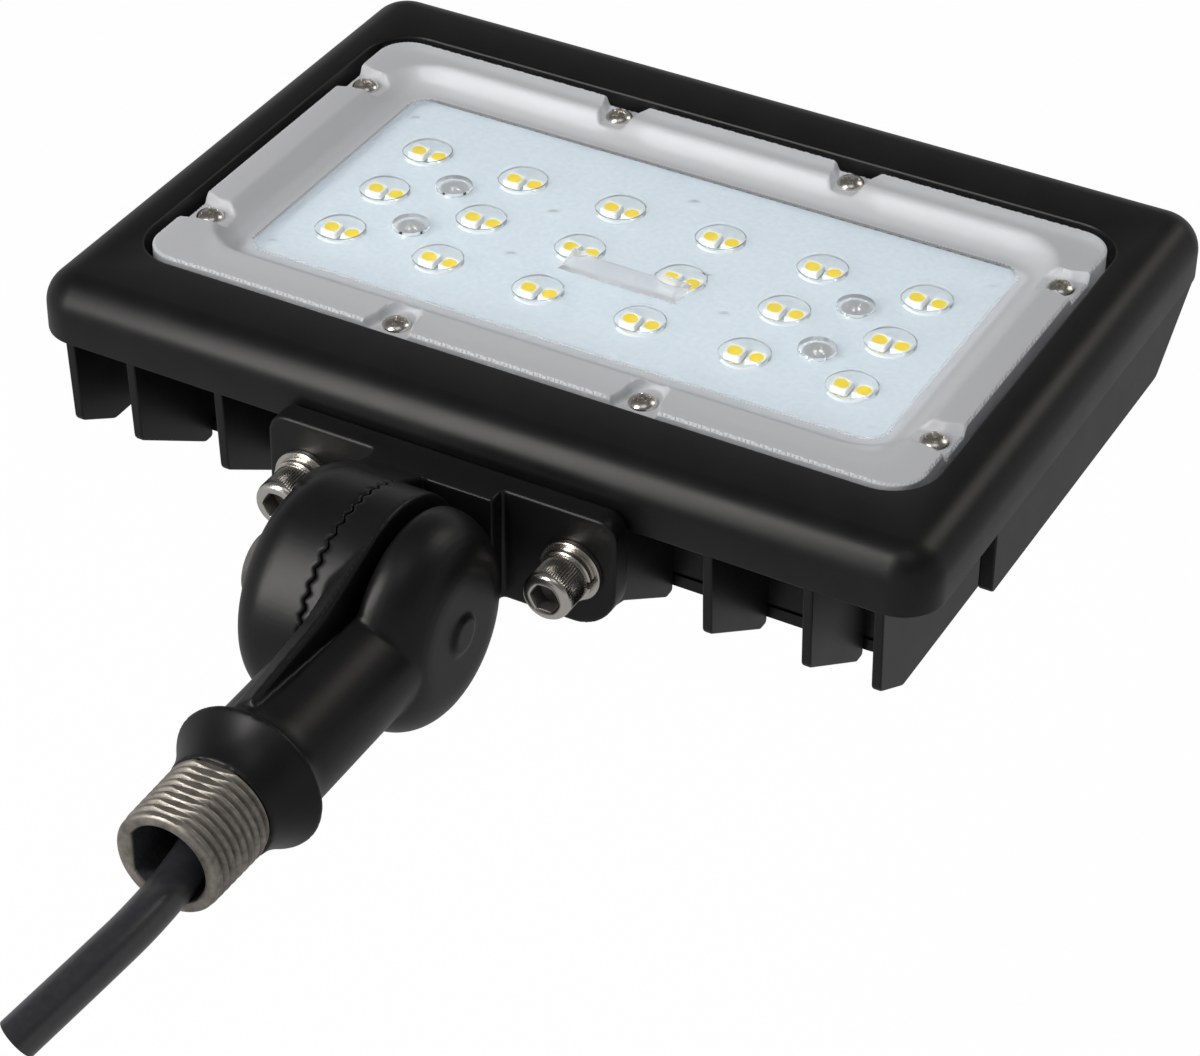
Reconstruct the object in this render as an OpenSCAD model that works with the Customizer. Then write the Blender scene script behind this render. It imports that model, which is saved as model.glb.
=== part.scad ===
// Outdoor LED flood light on a half-inch conduit knuckle.
// Origin: stem axis at the collar's front face. The thread points to -Y, the light shines to +Z.

/* [Housing] */
// Width of the die-cast housing, along X
housing_w = 190.6; // [186:0.2:240]
// Depth of the housing, along Y
housing_d = 136.6; // [134:0.2:170]
// Height of the skirt band round the face
skirt_h = 12.8; // [12.4:0.1:18]
// Height of the face rim above the hinge axis
face_above_hinge = 20.2; // [18:0.1:26]
// Plan radius of the housing's corners
corner_r = 8.5; // [8:0.5:16]
// Radius of the rounded front edge
edge_r = 7; // [3:0.5:7.5]
// Wall of the skirt
skirt_wall = 3; // [2:0.25:3.5]
// Thickness of the floor that carries the board
floor_t = 3.6; // [2.5:0.1:4.5]

/* [Driver box] */
// Width of the driver box on the back
box_w = 160; // [154:1:164]
// Depth of the driver box
box_d = 86; // [82:1:96]
// Height of the box below the skirt, with its cover
box_h = 30.4; // [27:0.2:40]
// Wall of the driver box
box_wall = 3; // [2:0.25:4]
// Thickness of the rear cover
cover_t = 2.6; // [2:0.1:4]
// Thickness of the cover's gasket
cover_gasket_t = 0.8; // [0.5:0.1:1.5]
// Plan radius of the box's corners
box_r = 6; // [4:0.5:8]

/* [Fins] */
// Thickness of one cooling fin
fin_t = 2; // [1.6:0.1:3]
// Distance from the middle to the first pair of fins
fin_first_x = 12.2; // [10:0.1:13]
// Pitch of the fins behind the skirt
fin_pitch = 20.05; // [18:0.05:21]
// Distance from the middle to each end fin
fin_end_x = 86.3; // [85:0.1:88]
// Depth of a fin's upright front edge below the skirt
fin_front_h = 18; // [12:0.2:20]
// How far a fin's front edge leans in
fin_draft = 1; // [0.4:0.1:2]
// Depth of the end fins below the skirt
fin_end_h = 23.9; // [18:0.1:26]
// How far a fin stands proud of the rear cover
fin_proud = 1; // [0.5:0.1:2]
// Distance from the middle to the fins' lowest corner
fin_low_y = 46; // [44.5:0.5:52]

/* [End cheeks] */
// Depth of each cheek below the skirt
cheek_h = 13.4; // [10:0.2:18]
// Where a cheek starts, towards the knuckle
cheek_near_y = 37; // [28:0.5:50]
// Where a cheek's lower edge ends
cheek_far_y = 44; // [35:0.5:50]
// Where a cheek's slope meets the skirt
cheek_slope_y = 60; // [56:0.5:64]

/* [Lens and light board] */
// Width of the lens
lens_w = 164.6; // [162:0.2:166]
// Depth of the lens
lens_d = 97.4; // [96:0.2:102]
// Gap between the lens and the housing's rim
lens_gap = 2.9; // [1:0.1:3]
// Plan radius of the lens's corners
lens_r = 7; // [5:0.5:10]
// Thickness of the lens's base plate
lens_base_t = 2; // [1.6:0.1:2.6]
// Height of the lens's raised rim above its base plate
lens_rim_h = 4; // [3:0.1:4.2]
// Width of the raised rim at its top
lens_rim_top = 6.5; // [6:0.1:7.5]
// Width of the raised rim at its foot
lens_rim_foot = 12.4; // [10:0.1:13]
// Depth of the rim's top below the housing's face
lens_sink = 0.2; // [0:0.1:1]
// Distance from the lens's edge to a lens screw
lens_screw_inset = 4; // [3.6:0.1:4.4]
// Half spacing of the screws along a long side
lens_screw_x = 26.5; // [20:0.5:60]
// Half spacing of the screws along a short side
lens_screw_y = 29.5; // [20:0.5:34]
// Radius of the notch that clears a lens screw's head
notch_r = 4; // [3.6:0.1:4.4]
// Columns of light points
led_columns = 6; // [4:1:6]
// Rows of light points
led_rows = 3; // [1:1:3]
// Pitch of the columns
led_pitch_x = 22.5; // [18:0.5:23]
// Pitch of the rows
led_pitch_y = 17; // [12:0.5:19]
// Spacing of the two LEDs in one point
led_pair = 4.36; // [4:0.02:5]
// Side of one LED package
led_size = 3.4; // [2.8:0.1:3.8]
// Height of one LED package
led_h = 0.7; // [0.5:0.05:0.8]
// Radius of the round lens over each point
dome_r = 5.2; // [4.8:0.1:6]
// Height of the round lens over each point
dome_h = 1.1; // [0.6:0.1:1.6]
// Width of the light board
board_w = 141; // [139:0.5:142]
// Depth of the light board
board_d = 74; // [70:0.5:75]
// Thickness of the light board
board_t = 1.6; // [1:0.1:2]
// Thickness of the thermal pad under the board
pad_t = 0.5; // [0.3:0.05:0.8]
// Half spacing of the board screws along X
board_screw_x = 45; // [44:0.5:46]
// Half spacing of the board screws along Y
board_screw_y = 8.5; // [8:0.25:9]

/* [Bracket] */
// Width of the bracket's plate
plate_w = 73.8; // [70:0.2:90]
// Height of the bracket's plate
plate_h = 24.6; // [24:0.2:30]
// Thickness of the bracket's plate
plate_t = 5; // [4:0.25:7]
// Thickness of the gasket behind the plate
plate_gasket_t = 1; // [0.5:0.1:2]
// Radius of the plate's upper corners
plate_top_r = 4; // [2:0.5:6]
// Radius of the plate's lower corners
plate_low_r = 9; // [4:0.5:10]
// Width of the raised block on the plate
block_w = 27; // [26:0.5:32]
// How far the block stands out of the plate
block_t = 3.7; // [2:0.1:6]
// Half spacing of the two bracket bolts
bolt_x = 28.5; // [27.5:0.25:30]
// Radius of the bracket bolts' shank
bolt_r = 3; // [2.5:0.5:3]
// Radius of the bracket bolts' head
bolt_head_r = 5; // [4.5:0.25:5.5]
// Height of the bracket bolts' head
bolt_head_h = 6; // [5:0.5:7]
// Radius of the flat washers
washer_r = 6; // [5.5:0.25:6.5]
// Thickness of the flat washers
washer_t = 1.2; // [0.8:0.1:1.6]
// Thickness of the spring washers
spring_t = 1.6; // [1.2:0.1:2]
// How far a bracket bolt reaches into the housing
bolt_reach = 12; // [8:0.5:16]

/* [Knuckle] */
// Radius of the serrated discs
disc_r = 22.3; // [21:0.1:26]
// Thickness of the bracket's half of the knuckle
left_t = 15.5; // [14:0.1:18]
// Radius of the rounded edge on the bracket's half
left_edge_r = 7; // [4:0.5:9]
// Thickness of the stem's serrated flange
flange_t = 7.4; // [6.5:0.1:8]
// Width of the slot between the flange and the dome
slot_w = 1.5; // [1:0.1:2]
// Radius of the stem's dome
dome_half_r = 21; // [20:0.1:24]
// Thickness of the stem's dome
dome_half_t = 11.7; // [11.5:0.1:14]
// Radius of the dome's flat end face
dome_face_r = 10.5; // [9:0.5:12]
// Radius of the small round along the dome's slot
dome_lip_r = 2; // [0.5:0.5:3]
// Height of the stem's rib where it leaves the disc, from the axis
rib_mid_h = 15.6; // [14:0.1:18]
// Distance from the hinge to the rib's bend
rib_mid_s = 24; // [20:1:30]
// Height of the stem's rib at the collar, from the axis
rib_low_h = 12.6; // [11.8:0.1:14]
// Teeth round each serrated disc
teeth = 48; // [24:24:72]
// Depth of the teeth at the rim
tooth_depth = 1; // [0.6:0.1:1.4]
// Inner radius of the toothed ring
tooth_in_r = 16; // [15.5:0.25:17]
// Gap between the meshed teeth
mesh_gap = 0.12; // [0.05:0.01:0.3]
// Gap between the discs and the bracket's block
disc_gap = 0.8; // [0.5:0.1:2]
// Radius of the hinge bolt's shank
pivot_r = 4; // [3:0.5:4.5]
// Radius of the boss round the hinge bolt
pivot_boss_r = 6.5; // [6:0.25:7]
// Radius of the wire space inside the knuckle
cavity_r = 12.5; // [11:0.25:13]
// Distance across the flats of the hinge bolt's head
pivot_head_af = 13; // [11:0.5:14]
// Height of the hinge bolt's head
pivot_head_h = 4.8; // [4:0.1:6]
// Height of the round button on the dome
button_h = 0.8; // [0.4:0.1:1.5]
// Radius of the round button on the dome
button_r = 3.7; // [3:0.1:5]

/* [Stem] */
// Distance from the collar's front to the hinge axis
stem_l = 60.5; // [56:0.5:80]
// Radius of the stem's tube
stem_r = 11.4; // [11:0.1:11.8]
// Radius of the collar at its fullest
collar_r = 14.6; // [13:0.1:17]
// Length of the collar
collar_l = 15; // [13:0.1:20]
// Major radius of the half-inch conduit thread
thread_r = 10.48; // [10.3:0.01:10.48]
// Length of the conduit thread
thread_l = 16; // [12:0.5:22]
// Radius of the D-shaped wire bore
bore_r = 7.6; // [7:0.1:8]
// Distance from the stem axis to the bore's flat
bore_flat = 6.5; // [5.5:0.1:7]
// Distance from the joint plane to the stem axis
stem_offset = 8.8; // [8.7:0.1:9.5]

/* [Cable] */
// Diameter of the supply cable
cable_d = 7.5; // [6:0.1:7.7]
// Length of the rubber bush that holds the cable
bush_l = 8; // [5:0.5:12]
// Distance from the collar's front to the bush
bush_y = 14; // [12:0.5:18]

/* [Hidden] */
$fn = 48;
eps = 0.01;

// Clearances
fit_gap = 0.1;
thread_gap = 0.05;
swing_gap = 0.9;
screw_gap = 0.2;
bolt_gap = 0.3;
seat_gap = 0.5;

// Heights in the head, measured from the hinge axis
face_z = face_above_hinge;
skirt_z = face_z - skirt_h;
floor_top = skirt_z + floor_t;
pad_top = floor_top + pad_t;
board_top = pad_top + board_t;
lens_top = face_z - lens_sink;
base_top = lens_top - lens_rim_h;
base_bottom = base_top - lens_base_t;
box_z = skirt_z - box_h;
cover_top = box_z + cover_t;
wall_low = cover_top + cover_gasket_t;
open_w = lens_w + 2 * lens_gap;
open_d = lens_d + 2 * lens_gap;
rim_wall = 3;
recess_r = 3;
tray_foot_r = 3;
tray_top_r = 4;
lens_gasket_edge = 7.2;
lens_gasket_w = 2.5;
lens_gasket_t = 0.8;
lens_gasket_r = 6.5;

// Places across the light, from the head's middle
pad_y = -housing_d / 2;
plate_back = pad_y - plate_gasket_t;
plate_front = plate_back - plate_t;
block_front = plate_front - block_t;
hinge_to_head = -block_front + disc_r + disc_gap;
duct_r = 4.5;
duct_x = -7;
bolt_edge = 4.7;
mount_w = 2 * (bolt_x + bolt_edge);
pad_lip = 0.6;
pad_step = 4;
pad_heel = 6;
plate_gasket_in = 1.2;

// Fins and their corners
fin_r = 2;
fin_foot_gap = 0.4;
fin_foot_r = 0.8;
end_fin_heel = 10.5;
end_fin_r = 3;
cheek_near_r = 1.5;

// Screws
m3_r = 1.5;
m3_head_r = 2.8;
m3_head_h = 1.9;
m3_reach = 5;
m4_r = 2;
m4_head_r = 3.8;
m4_head_h = 2.4;
m4_head_taper = 0.8;
cover_boss_r = 4.2;
cover_screw_inset = box_wall + cover_boss_r + 0.3;
cover_screw_x = [box_w / 2 - cover_screw_inset, 24];
cover_screw_y = box_d / 2 - cover_screw_inset;
cover_screw_reach = 7;
gasket_w = cover_screw_inset + m4_r + 0.7;
cover_panel_inset = 15;
cover_panel_depth = 0.6;
bolt_socket_af = 5;
bolt_socket_depth = 3;
spring_rim = 0.3;
spring_split = 0.8;
spring_slant = 20;
board_head_h = 1.1;
board_screw_reach = 2;

// Wires and grommets
lead_inset = 7.5;
leads_x = lead_inset - board_w / 2;
lead_r = 0.9;
lead_apart = 1.3;
lead_drop = 7;
grommet_r = 4;
grommet_lip = 1.2;
grommet_lip_t = 1.2;
wire_r = 1.1;
wire_ring_r = 1.9;
wire_turns = [90, 210, 330];
pad_grommet_l = 3;

// Driver inside the box
driver_w = 98;
driver_d = 54;
driver_h = 22;
driver_r = 3;
ear_w = 8;
ear_d = 14;
ear_t = 3;
ear_r = 4;
ear_gap = 0.8;
ear_screw_reach = 2;
driver_x = leads_x + grommet_r + grommet_lip + ear_gap + ear_w + driver_w / 2;

// Knuckle, along X from the joint plane
disc_face = tooth_depth / 2 + 0.3;
tooth_back = disc_face + 0.3;
seal_r = 14.2;
seal_t = 2.2;
seal_air = 0.02;
groove_t = seal_t + 2 * seal_air - 2 * disc_face - mesh_gap;
rib_x = 3.4;
slot_floor_r = 14;
slot_depth = 3.2;
dome_x = flange_t + slot_w;
dome_end = dome_x + dome_half_t;
pivot_washer_t = 1.6;
pivot_washer_r = 8.5;
pivot_reach = 15;
dome_wall = 3;
left_wall = 5;
arm_drop = 0.6;
arm_sink = 3;
arm_bend = 1.2;

// Supply cable from the bush to its square-cut end
cable_route = [[0, 14, 0], [0, 8, -0.1], [0.3, 1, -0.8], [0.8, -6, -2.1], [1.3, -13, -3.1],
    [1.6, -20, -3.5], [1.6, -28, -3.7], [1.1, -36, -3.9], [0.3, -44, -4.4], [-0.9, -57, -5]];
cable_sides = 12;
lead_in_l = 18;

// A rounded rectangle standing up from z = 0
module slab(w, d, h, r) {
    linear_extrude(h) rounded(w, d, r);
}

// A rectangle with round corners
module rounded(w, d, r) {
    square([w - 2 * r, d], center = true);
    square([w, d - 2 * r], center = true);
    for (x = [-1, 1], y = [-1, 1]) translate([x * (w / 2 - r), y * (d / 2 - r)]) circle(r);
}

// A cylinder along X, from x = 0
module rod_x(r, l) {
    rotate([0, 90, 0]) cylinder(r = r, h = l);
}

// A cylinder along Y, from y = 0
module rod_y(r, l) {
    rotate([-90, 0, 0]) cylinder(r = r, h = l);
}

// A plate across X: its outline is drawn in Y and Z
module plate_x(x, t) {
    translate([x, 0, 0]) rotate([90, 0, 90]) linear_extrude(t) children();
}

// The head's frame: the middle of the housing, at the height of the hinge axis
module at_head() {
    translate([-stem_offset, stem_l + hinge_to_head, 0]) children();
}

// The hinge's frame: X runs along the hinge from the joint plane
module at_hinge() {
    translate([-stem_offset, stem_l, 0]) children();
}

module at_bolts() {
    for (x = [-bolt_x, bolt_x]) translate([x, 0, 0]) children();
}

module at_cover_screws() {
    for (x = cover_screw_x, sx = [-1, 1], sy = [-1, 1]) {
        translate([sx * x, sy * cover_screw_y, 0]) children();
    }
}

module at_lens_screws() {
    for (s = [-1, 1]) {
        for (x = [-lens_screw_x, lens_screw_x]) {
            translate([x, s * (lens_d / 2 - lens_screw_inset), 0]) children();
        }
        for (y = [-lens_screw_y, lens_screw_y]) {
            translate([s * (lens_w / 2 - lens_screw_inset), y, 0]) children();
        }
    }
}

module at_points() {
    for (i = [0 : led_columns - 1], j = [0 : led_rows - 1]) {
        translate([(i - (led_columns - 1) / 2) * led_pitch_x, (j - (led_rows - 1) / 2) * led_pitch_y, 0])
            children();
    }
}

module at_board_screws() {
    for (x = [-board_screw_x, board_screw_x], y = [-board_screw_y, board_screw_y]) {
        translate([x, y, 0]) children();
    }
}

module at_driver_ears() {
    for (s = [-1, 1]) translate([driver_x + s * (driver_w / 2 + ear_w / 2), 0, 0]) children();
}

// Face band: a straight skirt under a rounded front edge
module band() {
    levels = [for (a = [0 : 15 : 90]) a];
    translate([0, 0, skirt_z]) slab(housing_w, housing_d, skirt_h - edge_r + eps, corner_r);
    hull() {
        for (a = levels) {
            inset = edge_r * (1 - cos(a));
            translate([0, 0, face_z - edge_r + edge_r * sin(a) - eps])
                linear_extrude(eps)
                    rounded(housing_w - 2 * inset, housing_d - 2 * inset, corner_r - inset, $fn = 32);
        }
    }
}

// A closed outline with each corner rounded: every point is [across, up, radius]
function turn(a, b) = let (u = a / norm(a), v = b / norm(b)) acos(max(-1, min(1, u * v)));
function corner_arc(p, q, r, rad, steps = 4) =
    let (a = [p.x - q.x, p.y - q.y], b = [r.x - q.x, r.y - q.y], half = turn(a, b) / 2,
        c = [q.x, q.y] + (a / norm(a) + b / norm(b)) / (2 * cos(half)) * rad / sin(half),
        from = [q.x, q.y] + a / norm(a) * rad / tan(half) - c,
        to = [q.x, q.y] + b / norm(b) * rad / tan(half) - c)
    rad <= 0 ? [[q.x, q.y]] : [for (k = [0 : steps]) let (m = from * (1 - k / steps) + to * k / steps)
        c + m / norm(m) * rad];
function round_off(pts) = let (n = len(pts)) [for (i = [0 : n - 1])
    each corner_arc(pts[(i + n - 1) % n], pts[i], pts[(i + 1) % n], pts[i].z)];

// Outline of a fin on one side, in Y and Z, from the box to the skirt
module fin_outline() {
    low = box_z - fin_proud;
    top = face_z - edge_r;
    front = housing_d / 2 - eps;
    inside = box_d / 2 - box_wall;
    rim = open_d / 2 + rim_wall / 2;
    foot = box_d / 2 + fin_foot_gap;
    polygon(round_off([
        [inside, skirt_z + 1, 0],
        [rim, skirt_z + 1, 0],
        [rim, top, 0],
        [front - skirt_wall, top, 0],
        [front, skirt_z, 0],
        [front - fin_draft, skirt_z - fin_front_h, fin_r],
        [fin_low_y, low, fin_r],
        [foot, low, fin_foot_r],
        [foot, wall_low, 0],
        [inside, wall_low, 0]]));
}

// Outline of an end fin, in Y and Z
module end_fin_outline() {
    front = housing_d / 2 - eps;
    foot = front - fin_draft;
    heel = foot - end_fin_heel;
    low = skirt_z - fin_end_h;
    mid = skirt_z - fin_front_h;
    polygon(round_off([
        [-front, skirt_z + 1, 0], [-front, skirt_z, 0], [-foot, mid, fin_r], [-heel, low, end_fin_r],
        [heel, low, end_fin_r], [foot, mid, fin_r], [front, skirt_z, 0], [front, skirt_z + 1, 0]]));
}

module cheek_outline() {
    low = skirt_z - cheek_h;
    polygon(round_off([
        [-cheek_near_y, skirt_z + 1, 0], [-cheek_near_y, low, cheek_near_r], [cheek_far_y, low, end_fin_r],
        [cheek_slope_y, skirt_z, 0], [cheek_slope_y, skirt_z + 1, 0]]));
}

// Pad that the bracket bolts to, with its underside at the fins' front corner
module mounting_pad() {
    low = pad_lip - plate_h / 2;
    plate_x(-mount_w / 2, mount_w) polygon(round_off([
        [pad_y, skirt_z + 2, 0], [pad_y, low, 1],
        [-box_d / 2 - pad_step, low - pad_heel, 1], [-box_d / 2 + eps, low - pad_heel, 0],
        [-box_d / 2 + eps, skirt_z + 2, 0]]));
}

module housing_shell() {
    difference() {
        band();
        // Hollow under the rim, all round
        translate([0, 0, skirt_z - 1]) difference() {
            slab(housing_w - 2 * skirt_wall, housing_d - 2 * skirt_wall, skirt_h - edge_r + 1,
                corner_r - skirt_wall);
            translate([0, 0, -1]) slab(open_w + 2 * rim_wall, open_d + 2 * rim_wall, skirt_h + 4,
                lens_r + lens_gap + rim_wall);
        }
        // Opening for the lens, down to the ledge
        translate([0, 0, base_bottom]) slab(open_w, open_d, skirt_h, lens_r + lens_gap);
        // Recess for the board and its pad
        translate([0, 0, floor_top])
            slab(board_w + 2 * seat_gap, board_d + 2 * seat_gap, skirt_h, recess_r);
        // Groove for the lens's gasket
        translate([0, 0, base_bottom + 1]) mirror([0, 0, 1]) gasket_ring(lens_gasket_t + 1, fit_gap / 2);
    }
    for (s = [0, 1]) mirror([0, s, 0]) {
        for (x = fin_places()) plate_x(x - fin_t / 2, fin_t) fin_outline();
    }
    for (s = [-1, 1]) {
        plate_x(s * fin_end_x - fin_t / 2, fin_t) end_fin_outline();
        plate_x(s * (housing_w / 2 - skirt_wall / 2 - eps) - skirt_wall / 2, skirt_wall) cheek_outline();
    }
    mounting_pad();
    // Driver box and its screw bosses
    difference() {
        translate([0, 0, wall_low]) slab(box_w, box_d, skirt_z - wall_low + eps, box_r);
        translate([0, 0, wall_low - 1])
            slab(box_w - 2 * box_wall, box_d - 2 * box_wall, skirt_z - wall_low + 1, box_r - box_wall + 1);
    }
    at_cover_screws() translate([0, 0, wall_low]) cylinder(r = cover_boss_r, h = skirt_z - wall_low + 1);
}

function fin_places() = [for (i = [0 : 3], s = [-1, 1]) s * (fin_first_x + i * fin_pitch)];

// Rubber ring under the lens; its groove is larger by a gap
module gasket_ring(h, gap = 0) {
    out = lens_gasket_edge - gap;
    in = lens_gasket_edge + lens_gasket_w + gap;
    linear_extrude(h) difference() {
        rounded(lens_w - 2 * out, lens_d - 2 * out, lens_gasket_r + gap);
        rounded(lens_w - 2 * in, lens_d - 2 * in, lens_gasket_r - lens_gasket_w - gap);
    }
}

module housing() {
    color("#232323") at_head() difference() {
        housing_shell();
        at_lens_screws() translate([0, 0, base_bottom - m3_reach - 1])
            cylinder(r = m3_r + thread_gap, h = m3_reach + 2);
        at_board_screws() translate([0, 0, floor_top - board_screw_reach - 0.5])
            cylinder(r = m3_r + thread_gap, h = board_screw_reach + 1);
        at_cover_screws() translate([0, 0, wall_low - 1])
            cylinder(r = m4_r + thread_gap, h = cover_screw_reach + 2);
        at_driver_ears() translate([0, 0, skirt_z - 1])
            cylinder(r = m3_r + thread_gap, h = ear_screw_reach + 1.6);
        at_bolts() translate([0, pad_y - 1, 0]) rod_y(bolt_r + thread_gap, bolt_reach + 3);
        // Wire way from the bracket into the driver box, and on through the floor
        translate([duct_x, pad_y - 1, 0]) rod_y(duct_r + 1, -pad_y);
        translate([leads_x, 0, skirt_z - 1]) cylinder(r = grommet_r, h = floor_t + 2);
    }
}

module driver_cover() {
    color("#262626") at_head() difference() {
        translate([0, 0, box_z]) slab(box_w, box_d, cover_t, box_r);
        at_cover_screws() translate([0, 0, box_z - 1]) cylinder(r = m4_r + screw_gap, h = cover_t + 2);
        // Shallow panel pressed into the cover
        translate([0, 0, box_z - 1]) slab(box_w - 2 * cover_panel_inset, box_d - 2 * cover_panel_inset,
            1 + cover_panel_depth, box_r - 1);
    }
}

module cover_gasket() {
    color("#3a3a3a") at_head() translate([0, 0, cover_top]) difference() {
        slab(box_w - 2 * seat_gap, box_d - 2 * seat_gap, cover_gasket_t, box_r - seat_gap);
        translate([0, 0, -1]) slab(box_w - 2 * gasket_w, box_d - 2 * gasket_w, 4, box_r - 1);
        at_cover_screws() translate([0, 0, -1]) cylinder(r = m4_r + screw_gap, h = 4);
    }
}

module cover_screws() {
    color("#c9c7c2") at_head() at_cover_screws() translate([0, 0, box_z]) {
        mirror([0, 0, 1]) difference() {
            cylinder(r1 = m4_head_r, r2 = m4_head_r - m4_head_taper, h = m4_head_h);
            translate([0, 0, m4_head_h - 1]) cross_recess(4, 1, 1.2);
        }
        cylinder(r = m4_r, h = cover_t + cover_gasket_t + cover_screw_reach);
    }
}

// Cross-shaped driver slot, standing up from z = 0
module cross_recess(l, w, h) {
    for (a = [0, 90]) rotate(a) translate([-l / 2, -w / 2, 0]) cube([l, w, h]);
}

module driver() {
    color("#d9d6cf") at_head() difference() {
        union() {
            translate([driver_x, 0, skirt_z - driver_h]) slab(driver_w, driver_d, driver_h, driver_r);
            translate([driver_x, 0, skirt_z - ear_t])
                slab(driver_w + 2 * ear_w, ear_d, ear_t, ear_r);
        }
        at_driver_ears() translate([0, 0, skirt_z - ear_t - 1])
            cylinder(r = m3_r + screw_gap, h = ear_t + 2);
    }
}

module driver_screws() {
    color("#c9c7c2") at_head() at_driver_ears() translate([0, 0, skirt_z - ear_t]) {
        mirror([0, 0, 1]) pan_head(m3_head_r, m3_head_h);
        cylinder(r = m3_r, h = ear_t + ear_screw_reach);
    }
}

// Pan head with a cross recess, standing up from z = 0
module pan_head(r, h) {
    difference() {
        rotate_extrude() polygon([[0, 0], [r, 0], [r, h * 0.45], [r * 0.9, h * 0.75],
            [r * 0.62, h * 0.94], [0, h]]);
        translate([0, 0, h * 0.45]) cross_recess(r * 1.25, r * 0.28, h);
    }
}

module thermal_pad() {
    color("#9aa3a8") at_head() translate([0, 0, floor_top]) difference() {
        slab(board_w - 2 * seat_gap, board_d - 2 * seat_gap, pad_t, recess_r - seat_gap);
        at_board_screws() translate([0, 0, -1]) cylinder(r = m3_r + seat_gap, h = 3);
        at_lens_screws() translate([0, 0, -1]) cylinder(r = m3_r + seat_gap, h = 3);
        translate([leads_x, 0, -1]) cylinder(r = grommet_r + seat_gap, h = 3);
    }
}

// Its leads are soldered to the underside
module led_board() {
    color("#eef2f4") at_head() translate([0, 0, pad_top]) difference() {
        slab(board_w, board_d, board_t, recess_r);
        at_board_screws() translate([0, 0, -1]) cylinder(r = m3_r + screw_gap, h = board_t + 2);
        at_lens_screws() translate([0, 0, -1]) cylinder(r = m3_r + screw_gap, h = board_t + 2);
    }
}

module led_packages() {
    color("#ffe36a") at_head() at_points() for (s = [-1, 1]) {
        translate([s * led_pair / 2 - led_size / 2, -led_size / 2, board_top])
            cube([led_size, led_size, led_h]);
    }
}

module board_screws() {
    color("#c9c7c2") at_head() at_board_screws() translate([0, 0, board_top]) {
        difference() {
            cylinder(r = m3_head_r, h = board_head_h);
            translate([0, 0, board_head_h / 2]) cross_recess(3.2, 0.8, 2);
        }
        translate([0, 0, -board_t - pad_t - board_screw_reach])
            cylinder(r = m3_r, h = board_t + pad_t + board_screw_reach);
    }
}

module lens_gasket() {
    color("#8d8f92") at_head() translate([0, 0, base_bottom]) mirror([0, 0, 1]) gasket_ring(lens_gasket_t);
}

module lens() {
    color("#dfe4ea", 0.55) at_head() difference() {
        union() {
            translate([0, 0, base_bottom]) difference() {
                slab(lens_w, lens_d, lens_base_t + lens_rim_h, lens_r);
                // The window: a tray with sloping sides
                translate([0, 0, lens_base_t]) hull() {
                    slab(lens_w - 2 * lens_rim_foot, lens_d - 2 * lens_rim_foot, eps, tray_foot_r, $fn = 32);
                    translate([0, 0, lens_rim_h + eps])
                        slab(lens_w - 2 * lens_rim_top, lens_d - 2 * lens_rim_top, 1, tray_top_r, $fn = 32);
                }
            }
            at_points() translate([0, 0, base_top]) point_dome();
        }
        // Notches for the screw heads, open to the edge
        at_lens_screws() {
            translate([0, 0, base_top]) cylinder(r = notch_r, h = lens_rim_h + 1);
            translate([0, 0, base_bottom - 1]) cylinder(r = m3_r + screw_gap, h = lens_base_t + 2);
        }
        for (x = [-lens_screw_x, lens_screw_x], s = [-1, 1]) {
            translate([x - notch_r, s * (lens_d / 2) - lens_screw_inset, base_top])
                cube([2 * notch_r, 2 * lens_screw_inset, lens_rim_h + 1]);
        }
        for (y = [-lens_screw_y, lens_screw_y], s = [-1, 1]) {
            translate([s * (lens_w / 2) - lens_screw_inset, y - notch_r, base_top])
                cube([2 * lens_screw_inset, 2 * notch_r, lens_rim_h + 1]);
        }
        // Pockets over the board screws
        at_board_screws() translate([0, 0, base_bottom - 1]) cylinder(r = m3_head_r + 1, h = 2);
    }
}

// Shallow round lens over one light point
module point_dome() {
    ball_r = (dome_r * dome_r + dome_h * dome_h) / (2 * dome_h);
    intersection() {
        translate([0, 0, dome_h - ball_r]) sphere(ball_r);
        translate([0, 0, -eps]) cylinder(r = dome_r, h = dome_h + 1);
    }
}

module lens_screws() {
    color("#cfcac2") at_head() at_lens_screws() translate([0, 0, base_top]) {
        pan_head(m3_head_r, m3_head_h);
        translate([0, 0, -lens_base_t - m3_reach]) cylinder(r = m3_r, h = lens_base_t + m3_reach);
    }
}

module floor_grommet() {
    color("#2a2a2a") at_head() translate([leads_x, 0, skirt_z]) difference() {
        union() {
            cylinder(r = grommet_r - fit_gap / 2, h = floor_t);
            mirror([0, 0, 1]) cylinder(r = grommet_r + grommet_lip, h = grommet_lip_t);
        }
        for (s = [-1, 1]) translate([0, s * lead_apart, -2])
            cylinder(r = lead_r + fit_gap / 2, h = floor_t + 4);
    }
}

module led_leads() {
    low = skirt_z - lead_drop;
    color("#b33a2e") at_head() for (s = [-1, 1]) translate([leads_x, s * lead_apart, low]) {
        cylinder(r = lead_r, h = pad_top - low);
        sphere(lead_r);
        // Run to the driver's side, under the floor
        rod_x(lead_r, driver_x - leads_x - driver_w / 2 - fit_gap);
    }
}

module at_wires() {
    for (a = wire_turns) rotate([0, -a, 0]) translate([wire_ring_r, 0, 0]) children();
}

module pad_grommet() {
    color("#2a2a2a") at_head() translate([duct_x, -box_d / 2 - pad_grommet_l, 0]) difference() {
        rod_y(duct_r + 1 - fit_gap / 2, pad_grommet_l + box_wall);
        at_wires() translate([0, -1, 0]) rod_y(wire_r + fit_gap / 2, pad_grommet_l + box_wall + 2);
    }
}

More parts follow.
